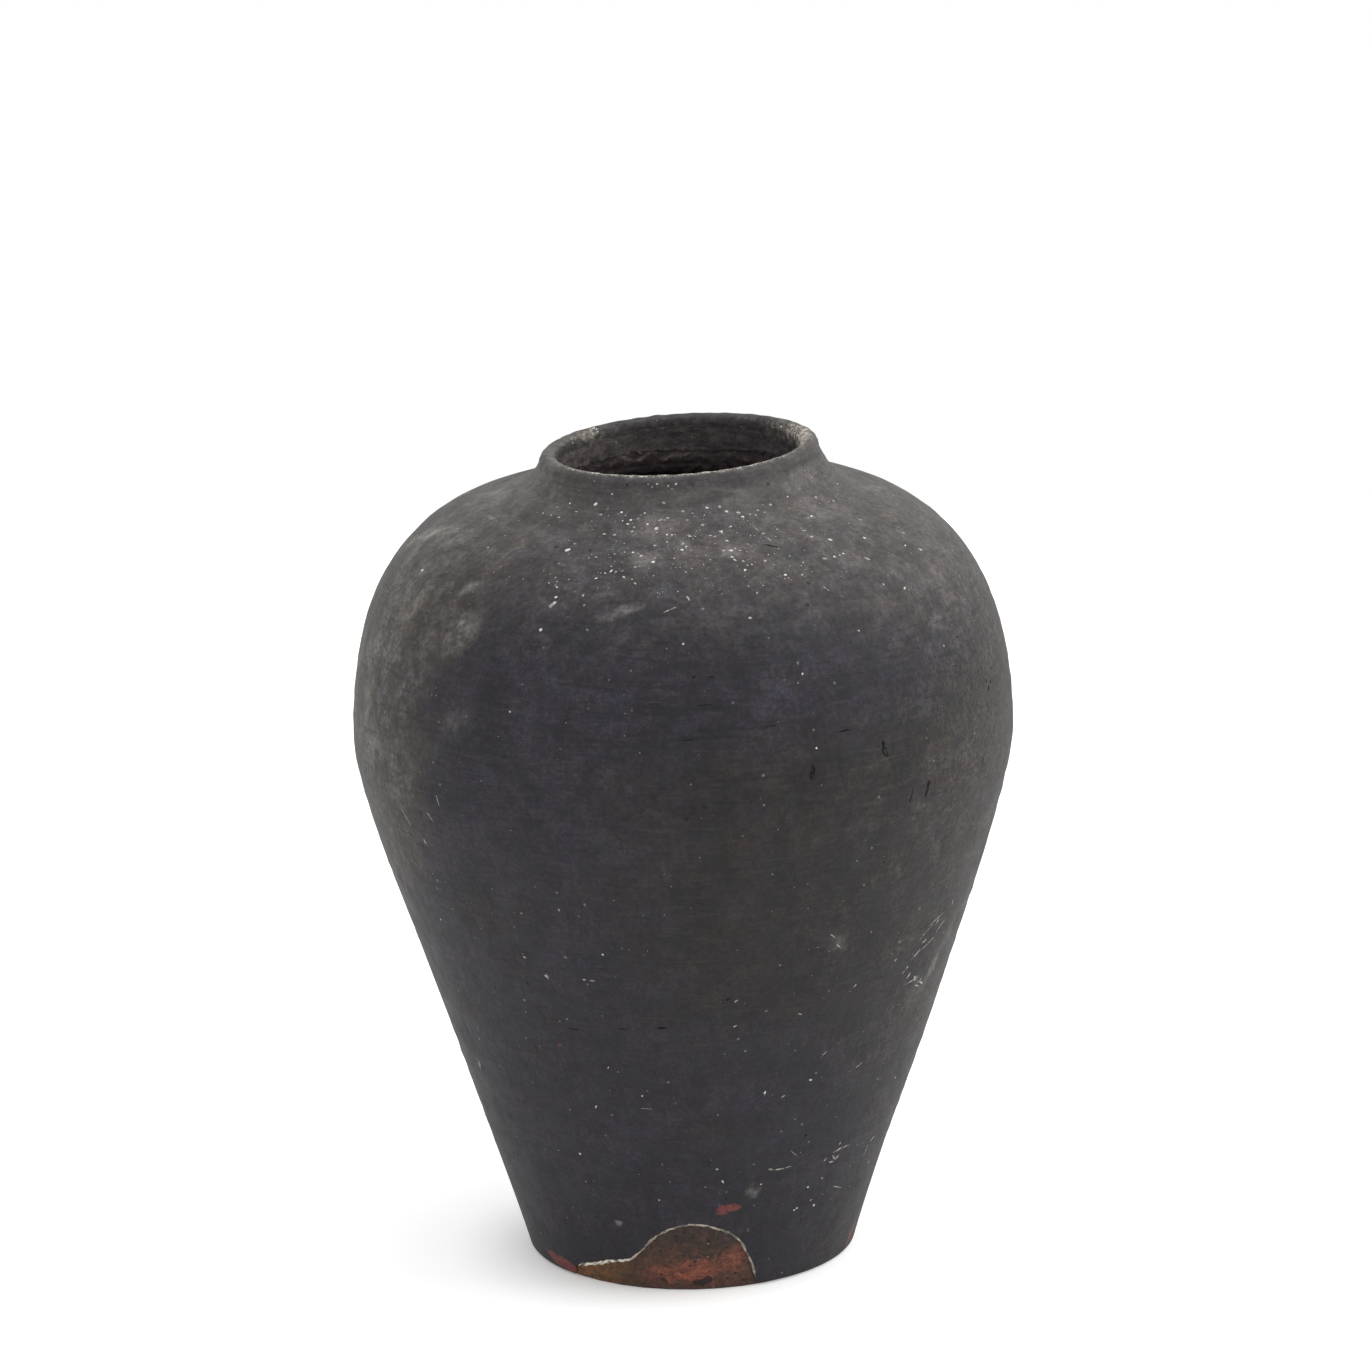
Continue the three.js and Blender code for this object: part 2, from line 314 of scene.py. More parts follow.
coatSkin = {
    "frontStep": 0.4,        # degrees between columns in front, round the bare patch
    "frontFrom": -50,
    "frontTo": 30,
    "restStep": 1.5,
    "footRows": 70,
    "footReach": 0.060,      # length of line that the closer rows above the foot cover
    "bodyRows": 82,
    "lipRows": 46,
    "insideRows": 20,
    "backEvery": 6,          # the hidden back takes every so many rows
    "lift": 0.0006,          # lower edge above the floor
    "edgeRound": 0.0009,     # rounding of the coat's edges
    "ledgeDepth": 0.0098,    # lower edge of the coat inside the mouth, below the inner lip
    "edgeShare": 0.8,        # share of the coat's thickness that the rounding takes
    "edgeRagged": 0.00007,   # raggedness of the patch edge
    "ledgeWave": 0.0008,     # slow and quick waves of the edge inside the mouth, and the most they may reach
    "ledgeRipple": 0.0004,
    "ledgeMost": 0.003,
    "ringHeight": 0.00006,   # throwing rings
    "wobble": 0.00016,
    "lipRough": 0.00007,
    "lipSink": 3.2,          # how far the rough lip sinks, in units of its roughness
    "lipCalm": (0.012, 0.004),    # below the lip's top, where the wall's relief gives way to the lip's
    "footCalm": (0.030, 0.055),   # heights over which the relief sets in above the foot
    "deepest": 0.0007,
    "clearance": 0.00004,    # kept free inside the widest radius
    "footCrowding": 1.35,    # rows crowd towards the edges by these powers
    "insideCrowding": 0.8,
}

# Upper edge of the bare patch: pixels of the photograph from left to right
patchPixels = [
    (575.5, 1274), (578, 1265.5), (596, 1263.5), (612, 1261), (628, 1260), (635, 1256), (643, 1249),
    (650, 1241.5), (658, 1235.5), (669, 1230), (681, 1226.5), (692, 1225), (706, 1226), (717, 1229),
    (729, 1233), (738, 1239), (743, 1245), (746.5, 1252), (750, 1258.5), (753, 1266), (755, 1274),
    (756.5, 1283),
]
patchKnots = np.stack(onCoat(patchPixels), 1)     # angle and length along the line
patchFrom, patchTo = patchKnots[0][0], patchKnots[-1][0]

# Flakes where the red clay shows: pixel, half length, half width, lean, strength
redFlakes = [
    ((722.5, 1210), 0.0026, 0.0024, 0, 1.0), ((732, 1207.5), 0.0036, 0.0022, 8, 1.0),
    ((556, 1258.5), 0.0066, 0.0024, -22, 1.0), ((568, 1265.5), 0.0076, 0.0030, -20, 1.0),
    ((851, 1232), 0.0055, 0.0017, 70, 1.0), ((559, 1045), 0.0014, 0.0008, 0, 0.5),
]

# Chalky smears, in the same terms
chalkSmears = [
    ((428, 534), 0.0260, 0.0060, 38, 0.85), ((470, 587), 0.0080, 0.0028, 42, 0.75),
    ((461, 634), 0.0140, 0.0090, 50, 0.50), ((463, 622), 0.0040, 0.0030, 20, 0.65),
    ((493, 519), 0.0080, 0.0010, 5, 0.50), ((414, 606), 0.0110, 0.0070, 60, 0.40),
    ((627, 609), 0.0100, 0.0030, 26, 0.45), ((612, 616), 0.0080, 0.0030, 22, 0.35),
    ((500, 497), 0.0200, 0.0070, 10, 0.50), ((684, 549), 0.0050, 0.0060, 0, 0.42),
    ((728, 553), 0.0065, 0.0060, 0, 0.40), ((646, 560), 0.0090, 0.0080, 0, 0.34),
    ((655, 533), 0.0140, 0.0140, 0, 0.30), ((618, 1223), 0.0021, 0.0017, 0, 1.0),
    ((840, 942), 0.0048, 0.0062, 0, 0.22), ((752, 1192), 0.0040, 0.0050, 0, 0.50),
    ((368, 700), 0.0160, 0.0070, 80, 0.32), ((374, 640), 0.0200, 0.0080, 70, 0.30),
    ((455, 725), 0.0110, 0.0080, 40, 0.22), ((870, 487), 0.0120, 0.0050, -30, 0.60),
    ((800, 478), 0.0160, 0.0050, 10, 0.35), ((935, 960), 0.0220, 0.0050, 62, 0.35),
]

# Sooty places and dark bands that a tool scraped round the belly, in the same terms
sootSmears = [
    ((700, 707), 0.0340, 0.0030, 2, 0.75), ((722, 733), 0.0320, 0.0042, 3, 0.75),
    ((848, 692), 0.0200, 0.0022, 6, 0.65), ((880, 728), 0.0180, 0.0034, 6, 0.50),
    ((640, 746), 0.0200, 0.0040, 0, 0.50), ((560, 731), 0.0260, 0.0034, 0, 0.45),
    ((500, 690), 0.0180, 0.0110, 30, 0.45), ((905, 752), 0.0150, 0.0040, 82, 0.55),
    ((800, 790), 0.0160, 0.0050, 85, 0.40),
]


# Lower edge of the coat along the line: the patch outline in front, a short lift above the floor elsewhere
def coatEdge(angle):
    ragged = coatSkin["edgeRagged"] * roundField(5, angle, 16, (30, 260))
    floor = alongAtHeight(coatSkin["lift"])
    inPatch = (angle > patchFrom) & (angle < patchTo)
    return np.where(inPatch, np.maximum(throughKnots(patchKnots, angle) + ragged, floor), floor)


# Wavy lower edge of the coat inside the mouth
def coatLedge(angle):
    c = coatSkin
    wave = c["ledgeWave"] * roundField(6, angle, 8, (2, 9))
    wave = wave + c["ledgeRipple"] * roundField(7, angle, 14, (14, 80))
    return lipInside + c["ledgeDepth"] + np.clip(wave, -c["ledgeMost"], c["ledgeMost"])


# Swellings of the hand-made wall: degrees from the front, height, reach in degrees and metres, rise
wallSwellings = [
    (90, 0.078, 60, 0.036, 0.0006),
    (90, 0.150, 60, 0.028, 0.0003),
    (-90, 0.110, 60, 0.040, -0.0010),
    (-90, 0.245, 60, 0.018, 0.0006),
    (-75, 0.2838, 60, 0.0036, 0.0024),
    (0, 0.2838, 60, 0.0036, 0.0012),
]


# Room left between the outside line and the widest radius
def roomOutside(along):
    return vaseForm["bellyRadius"] - coatSkin["clearance"] - radiusAt(along)


# Relief of the coat: swellings, slow wobble, throwing rings and a rough lip, within the widest radius
def coatRelief(angle, along):
    c = coatSkin
    height = heightAt(along)
    wobble = waveField(1, angle, along, 8, (1, 4), (0.12, 0.4))
    rings = waveField(2, angle, along, 18, (0, 2), (0.0045, 0.013))
    rough = waveField(3, angle, along, 40, (3, 60), (0.004, 0.02))
    nearLip = smoothStep(lipTop - c["lipCalm"][0], lipTop - c["lipCalm"][1], along)
    aboveFoot = smoothStep(*c["footCalm"], height)
    relief = c["wobble"] * wobble + c["ringHeight"] * rings
    for degrees, level, reach, tall, rise in wallSwellings:
        aside, above = wrapped(np.degrees(angle) - degrees), height - level
        relief = relief + rise * bell(aside, reach) * bell(above, tall)
    relief = relief * aboveFoot * (1 - nearLip) + nearLip * c["lipRough"] * (rough - c["lipSink"])
    return np.clip(relief, -c["deepest"], roomOutside(along))


# Grid of the coat: the outside rows climb from the patch or the floor over the lip to the ledge inside,
# and the back returns the same way one coat thickness deeper, so the skin closes on itself
def makeCoat(material):
    c = coatSkin
    around = 360 + c["frontFrom"]
    front = np.arange(c["frontFrom"], c["frontTo"], c["frontStep"])
    rest = np.linspace(c["frontTo"], around, int((around - c["frontTo"]) / c["restStep"]))
    angle = np.radians(np.concatenate([front, rest[:-1]]))[None, :]
    edge, ledge = coatEdge(angle), coatLedge(angle)
    climb = np.linspace(0, 1, c["footRows"], endpoint=False)[:, None] ** c["footCrowding"]
    body = np.linspace(c["footReach"], neckStart, c["bodyRows"], endpoint=False)[:, None]
    lip = np.linspace(neckStart, lipInside, c["lipRows"], endpoint=False)[:, None]
    inside = np.linspace(0, 1, c["insideRows"])[:, None] ** c["insideCrowding"]
    along = np.vstack([
        edge + (c["footReach"] - edge) * climb,
        body + 0 * angle,
        lip + 0 * angle,
        lipInside + (ledge - lipInside) * inside,
    ])
    thickness = vaseForm["coatThickness"]
    toEdge = np.minimum(along - edge, ledge - along) / c["edgeRound"]
    rounding = thickness * c["edgeShare"] * (1 - np.sqrt(1 - (1 - np.clip(toEdge, 0, 1)) ** 2))
    points, _ = onLine(angle, along, coatRelief(angle, along) - rounding)
    backAlong = np.vstack([along[::-1][::c["backEvery"]], along[:1]])
    back, _ = onLine(angle, backAlong, coatRelief(angle, backAlong) - thickness)
    values = {"wearAndHighlight": np.vstack([coatWear(angle, along, ledge), 0 * backAlong])}
    piece = gridPiece("coat_skin", np.vstack([points, back]), True, True, values)
    piece.data.materials.append(material)
    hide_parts("outer_coat")
    print("coat skin:", len(piece.data.polygons), "quads")
    return piece


# Worn places; a spot is degrees from the front, reach in degrees and strength
lipWear = {
    "rollAt": -0.0022,       # past the inner lip
    "rollReach": 0.0030,
    "rollSpots": [(98, 20, 3.2), (-131, 9, 0.7)],
    "rollBase": 0.05,
    "topAt": 0.0006,         # past the lip's top
    "topReach": 0.0013,
    "topSpot": (-2, 46, 2.4),
    # pale line along the ledge, partly wear and partly painted highlight
    "ledgeReach": 0.0008,
    "ledgeSpot": (-160, 28, 0.6),
    "leastShare": 0.35,      # how much of it the patchy rubbing leaves, and adds
    "patchyShare": 0.9,
}


def spotAt(degrees, spot):
    middle, reach, strength = spot
    return strength * bell(wrapped(degrees - middle), reach)


# Wear on the lip and just inside it, pale where it was rubbed; the pale line on the ledge is partly wear and
# partly painted highlight
def coatWear(angle, along, ledge):
    w = lipWear
    degrees = np.degrees(angle)
    rubbed = w["rollBase"] + sum(spotAt(degrees, spot) for spot in w["rollSpots"])
    onRoll = bell(along - lipInside - w["rollAt"], w["rollReach"]) * rubbed
    onTop = bell(along - lipTop - w["topAt"], w["topReach"]) * spotAt(degrees, w["topSpot"])
    # painted highlight along the ledge, partly wear
    onLedge = bell(ledge - along, w["ledgeReach"]) * spotAt(degrees, w["ledgeSpot"])
    patchy = smoothStep(-0.3, 1.4, waveField(31, angle, along, 24, (5, 70), (0.003, 0.02)))
    return np.clip((onRoll + onTop + onLedge) * (w["leastShare"] + w["patchyShare"] * patchy), 0, 1)


# shader node helpers

# Number, colour or link on one socket
def feed(tree, socket, value):
    if isinstance(value, bpy.types.NodeSocket):
        tree.links.new(value, socket)
    else:
        socket.default_value = value


def put(tree, kind, props=None, **inputs):
    node = tree.nodes.new("ShaderNode" + kind)
    for name, value in (props or {}).items():
        setattr(node, name, value)
    for name, value in inputs.items():
        feed(tree, node.inputs[name.replace("_", " ")], value)
    return node


# Math or vector math node fed in the order of its sockets
def worked(tree, kind, operation, values):
    node = put(tree, kind, {"operation": operation})
    for socket, value in zip(node.inputs, values):
        feed(tree, socket, value)
    return node


def calc(tree, operation, *values):
    return worked(tree, "Math", operation, values).outputs[0]


def times(tree, first, second):
    return calc(tree, "MULTIPLY", first, second)


# First times second, plus third
def timesPlus(tree, first, second, third):
    return calc(tree, "MULTIPLY_ADD", first, second, third)


def most(tree, first, second):
    return calc(tree, "MAXIMUM", first, second)


def ramp(tree, value, low, high, toLow=0.0, toHigh=1.0):
    ends = {"From_Min": low, "From_Max": high, "To_Min": toLow, "To_Max": toHigh}
    return put(tree, "MapRange", {"interpolation_type": "SMOOTHSTEP"}, Value=value, **ends).outputs["Result"]


def mixed(tree, factor, first, second, mode="MIX"):
    node = put(tree, "Mix", {"data_type": "RGBA", "blend_type": mode})
    for index, value in ((0, factor), (6, first), (7, second)):
        feed(tree, node.inputs[index], value)
    return node.outputs[2]


# Linear colour from the 0 to 255 numbers that a picture shows
def shade(red, green, blue):
    value = np.array([red, green, blue]) / 255
    linear = np.where(value <= 0.04045, value / 12.92, ((value + 0.055) / 1.055) ** 2.4)
    return (*linear.tolist(), 1.0)


def attribute(tree, name):
    return put(tree, "Attribute", {"attribute_name": name}).outputs["Fac"]


def noise(tree, vector, scale, detail=2.0, rough=0.5, stretch=None):
    if stretch:
        vector = put(tree, "Mapping", {"vector_type": "POINT"}, Vector=vector, Scale=stretch).outputs[0]
    node = put(tree, "TexNoise", None, Vector=vector, Scale=scale, Detail=detail, Roughness=rough)
    return node.outputs["Fac"]


def newGroup(name, inputs, outputs):
    group = bpy.data.node_groups.new(name, "ShaderNodeTree")
    for label, kind in inputs:
        group.interface.new_socket(label, in_out="INPUT", socket_type=kind)
    for label in outputs:
        group.interface.new_socket(label, in_out="OUTPUT", socket_type="NodeSocketFloat")
    return group, group.nodes.new("NodeGroupInput").outputs, group.nodes.new("NodeGroupOutput").inputs


def useGroup(tree, group, **inputs):
    node = tree.nodes.new("ShaderNodeGroup")
    node.node_tree = group
    for name, value in inputs.items():
        feed(tree, node.inputs[name], value)
    return node.outputs


# Shape of the scattered grains
grainShape = {
    "bendScale": 900.0,
    "bend": (0.0006, 0.0006, 0.0006),
    "smallest": 0.25,        # least share of the size, and what chance adds
    "spread": 0.75,
    "outer": 1.15,           # where the grain's rim fades, in radii
    "inner": 0.7,
}


# Grains scattered in cells: a cell holds a grain if its random number is under the density,
# and the grain's radius is another random share of the size
def makeGritGroup():
    g = grainShape
    kinds = [("Vector", "NodeSocketVector")]
    kinds += [(label, "NodeSocketFloat") for label in ("Scale", "Density", "Size")]
    group, given, out = newGroup("scatteredGrains", kinds, ["Mask"])
    bend = put(group, "TexNoise", None, Vector=given["Vector"], Scale=g["bendScale"], Detail=1.0)
    bent = worked(group, "VectorMath", "MULTIPLY_ADD", (bend.outputs["Color"], g["bend"], given["Vector"]))
    cells = put(group, "TexVoronoi", None, Vector=bent.outputs[0], Scale=given["Scale"])
    chance = put(group, "SeparateColor", None, Color=cells.outputs["Color"])
    present = calc(group, "LESS_THAN", chance.outputs[0], given["Density"])
    radius = times(group, given["Size"], timesPlus(group, chance.outputs[1], g["spread"], g["smallest"]))
    rim, heart = times(group, radius, g["outer"]), times(group, radius, g["inner"])
    mask = ramp(group, cells.outputs["Distance"], rim, heart)
    group.links.new(times(group, mask, present), out["Mask"])
    return group


# Lines left by turning: noise squeezed along the axis, so it runs round the vase
def makeTurningGroup():
    kinds = [("Vector", "NodeSocketVector"), ("Fineness", "NodeSocketFloat")]
    group, given, out = newGroup("turningLines", kinds, ["Lines"])
    lines = noise(group, given["Vector"], given["Fineness"], 3.0, 0.6, (0.05, 0.05, 1.0))
    group.links.new(lines, out["Lines"])
    return group


# Mask of one mark: an oval in its own frame on the surface, one inside and fading over the softness
def makeMarkGroup():
    kinds = [(label, "NodeSocketVector") for label in ("Vector", "Centre", "Turn", "Size")]
    group, given, out = newGroup("rubbedMark", kinds + [("Softness", "NodeSocketFloat")], ["Mask"])
    own = {"Location": given["Centre"], "Rotation": given["Turn"], "Scale": given["Size"]}
    local = put(group, "Mapping", {"vector_type": "TEXTURE"}, Vector=given["Vector"], **own)
    far = worked(group, "VectorMath", "LENGTH", (local.outputs[0],))
    mask = ramp(group, far.outputs["Value"], 1.0, calc(group, "SUBTRACT", 1.0, given["Softness"]))
    group.links.new(mask, out["Mask"])
    return group


gritGroup = makeGritGroup()
turningGroup = makeTurningGroup()
markGroup = makeMarkGroup()


# Strongest of a list of marks, read at a vector that a noise has bent so that their edges are ragged
def marksMask(tree, vector, marks, softness):
    total = 0.0
    for pixel, halfLength, halfWidth, lean, strength in marks:
        centre, turn = markFrame(pixel, lean)
        own = {"Centre": centre, "Turn": turn, "Size": (halfLength, halfWidth, 1.5 * halfLength)}
        mark = useGroup(tree, markGroup, Vector=vector, Softness=softness, **own)["Mask"]
        total = most(tree, times(tree, mark, strength), total)
    return total


# Scattered grains of the finishes: scale, density and size
grainKinds = {
    "coatSpecks": (400.0, 0.09, 0.24),
    "coatPinholes": (160.0, 0.16, 0.12),
    "liningSpecks": (300.0, 0.12, 0.2),
    "clayPits": (330.0, 0.34, 0.26),
    "clayDots": (900.0, 0.16, 0.30),
    "clayFlecksAndGlints": (520.0, 0.12, 0.26),
}


def scattered(tree, coords, kind):
    scale, density, size = grainKinds[kind]
    return useGroup(tree, gritGroup, Vector=coords, Scale=scale, Density=density, Size=size)["Mask"]


# Bends of the marks' rims: scale of the noise and length
rimBends = {"loose": (240.0, 0.0012), "brick": (240.0, 0.0020), "close": (420.0, 0.0007)}


# Vector bent by a noise of the given scale, by up to the given length
def bentVector(tree, vector, scale, length):
    bend = put(tree, "TexNoise", None, Vector=vector, Scale=scale, Detail=3.0).outputs["Color"]
    centred = worked(tree, "VectorMath", "SUBTRACT", (bend, (0.5, 0.5, 0.5)))
    reach = (4 * length, 4 * length, 4 * length)
    return worked(tree, "VectorMath", "MULTIPLY_ADD", (centred.outputs[0], reach, vector)).outputs[0]


# Shorthands for one finish: a ramp by its zone's name, a noise by its name, a colour laid over another
def layering(tree, coords, zoneTable, noiseTable, shades):
    def zone(value, name):
        return ramp(tree, value, *zoneTable[name])

    def texture(name):
        return noise(tree, coords, *noiseTable[name])

    def over(colour, share, name):
        return mixed(tree, share, colour, shades[name])

    return zone, texture, over


def newFinish(name, roughness, specular):
    material = bpy.data.materials.new(name)
    material.use_nodes = True
    tree = material.node_tree
    shader = tree.nodes["Principled BSDF"]
    shader.inputs["Roughness"].default_value = roughness
    shader.inputs["Specular IOR Level"].default_value = specular
    coords = put(tree, "TexCoord").outputs["Object"]
    return material, tree, shader, coords


def bumpOn(tree, shader, height, distance, strength=1.0):
    node = put(tree, "Bump", None, Height=height, Distance=distance, Strength=strength)
    tree.links.new(node.outputs[0], shader.inputs["Normal"])


coatFinish = {
    "blueBlack": shade(40, 37, 44),
    "brownBlack": shade(37, 33, 33),
    "warmGrey": shade(66, 63, 61),
    "umber": shade(50, 46, 44),
    "dust": shade(80, 77, 75),
    "inside": shade(72, 67, 67),
    "insideDeep": shade(46, 43, 44),
    # pale colour of the left inner wall: painted light with dust
    "insideDustAndLight": shade(100, 93, 89),
    "deep": shade(30, 28, 30),
    "soot": shade(19, 18, 19),
    "ash": shade(117, 115, 110),
    "chalk": shade(148, 143, 138),
    "grit": shade(190, 182, 168),
    "pit": shade(17, 15, 15),
    "redClay": shade(116, 60, 57),
    "slate": (0.42, 0.50, 0.59, 1),      # cool and warm shifts of the mottling, laid over the colour
    "rust": (0.61, 0.50, 0.40, 1),
    "roughness": 0.64,
    "specular": 0.30,
    "raggedness": 44.0,      # degrees by which the clouds shift the edges of the dark front
    "dustWave": 0.030,       # metres by which they shift the dust's lower edge
    "lipWave": 0.003,
    "rightSoot": 0.20,       # shares of the layers
    "backDustAndShade": -0.55,
    "backCalm": -0.35,
    "neckCalm": -0.35,
    "tint": 0.22,
    "tintUnderDust": 0.10,
    "slowTint": 0.12,
    "lowerShade": 0.14,
    "specks": 0.22,
    "pinholes": 0.85,
    "bump": 0.00024,
}

# Noises of the coat: scale, detail, roughness and stretch
coatNoises = {
    "broad": (24.0, 4.0, 0.6),
    "slow": (52.0, 3.0, 0.55),
    "cloud": (95.0, 6.0, 0.7),
    "patchy": (170.0, 3.0, 0.55),
    "fine": (560.0, 4.0, 0.65),
    "grain": (1500.0, 2.0, 0.6),
    "tint": (150.0, 4.0, 0.6),
    "slowTint": (75.0, 3.0),
    "dashes": (620.0, 3.0, 0.6, (0.11, 0.11, 1.0)),
    "strokes": (300.0, 4.0, 0.65, (1.0, 1.0, 0.13)),
    "smoky": (150.0, 4.0, 0.6, (1.0, 1.0, 0.40)),
    "scraped": (420.0, 5.0, 0.7, (0.30, 0.30, 1.0)),
}

# Zones of the coat: a span of metres, of degrees from the front or of a noise, and the values at its two
# ends where they aren't 0 and 1
coatZones = {
    "tint": (0.36, 0.64),
    "leftEdge": (0.10, 0.19, -88.0, -49.0),
    "leftEdgeHigh": (0.232, 0.262, 0.0, 9.0),
    "leftFade": (-6.0, 4.0),
    "rightEdge": (0.215, 0.245, 42.0, 64.0),
    "rightEdgeLow": (0.10, 0.05, 0.0, 22.0),
    "rightFade": (22.0, -22.0),
    "darkPatches": (0.52, 0.64, 0.0, 0.8),
    "lower": (0.205, 0.150),
    "brownPatches": (0.55, 0.70, 0.0, 0.6),
    "brownTop": (0.232, 0.208),
    "brownBottom": (0.085, 0.130),
    "brownSide": (-28.0, 8.0),
    "brownCloud": (0.34, 0.54, 0.4, 1.0),
    "greyCloud": (0.42, 0.60),
    "greySide": (5.0, 55.0, 1.0, 0.40),
    "rightSide": (2.0, 36.0),
    "rightTop": (0.245, 0.215),
    "dustClimb": (15.0, 75.0, 0.0, 0.020),
    "dustRise": (0.240, 0.298),
    "dustPatches": (0.34, 0.62, 0.80, 1.0),
    "dustAndLightSide": (-80.0, 60.0, 0.58, 1.0),
    "dustLip": (0.2925, 0.2975, 1.0, 0.60),
    "back": (0.015, 0.070),
    "ashSide": (-44.0, -76.0),
    "ashHeight": (0.10, 0.20, 0.35, 1.0),
    "ashStreaks": (0.34, 0.68, 0.18, 0.44),
    "ashCloud": (0.34, 0.64, 0.45, 0.95),
    "mouthWall": (0.0475, 0.0458),
    "mouthRoll": (0.2991, 0.2981),
    "mouthFloor": (0.26, 0.27),
    "mouthShade": (0.2938, 0.2968, 0.0, 0.80),
    "scraped": (0.38, 0.60),
    "dustAndLightLeft": (-0.010, -0.040, 0.0, 0.50),
    "dustAndLightCrumbs": (0.40, 0.58, 0.5, 1.0),
    "tintCalm": (42.0, 66.0, 0.0, 0.08),
    "slow": (0.34, 0.66, 0.80, 1.20),
    "cloud": (0.36, 0.64, 0.74, 1.26),
    "patchy": (0.36, 0.64, 0.82, 1.18),
    "calmShoulder": (0.250, 0.268, 1.0, 0.75),
    "calmNeck": (0.282, 0.292, 1.0, 0.5),
    "calmRight": (52.0, 84.0, 1.0, 0.5),
    "calmLeft": (-60.0, -84.0, 1.0, 0.6),
    "neck": (0.280, 0.289),
    "fine": (0.36, 0.64, 0.76, 1.24),
    "grain": (0.34, 0.66, 0.86, 1.14),
    "neckDashes": (0.36, 0.64, 0.80, 1.20),
    "coarseSide": (25.0, 70.0),
    "coarseTop": (0.262, 0.235),
    "coarseFine": (0.36, 0.64, 0.78, 1.22),
    "coarseGrain": (0.36, 0.64, 0.84, 1.16),
    "girthLow": (0.03, 0.17, 0.35, 1.0),
    "girthHigh": (0.285, 0.24, 0.40, 1.0),
    "darkDashes": (0.56, 0.66, 0.0, 0.45),
    "paleDashes": (0.42, 0.32, 0.0, 0.25),
    "strokes": (0.48, 0.68, 0.0, 0.72),
    "sootDashes": (0.40, 0.58, 0.35, 1.0),
    "chalkFine": (0.40, 0.60, 0.55, 1.0),
    "chalkPatches": (0.38, 0.60, 0.40, 1.0),
    "wornFine": (0.42, 0.60, 0.15, 1.0),
    "bareFine": (0.40, 0.70, 0.0, 0.7),
}


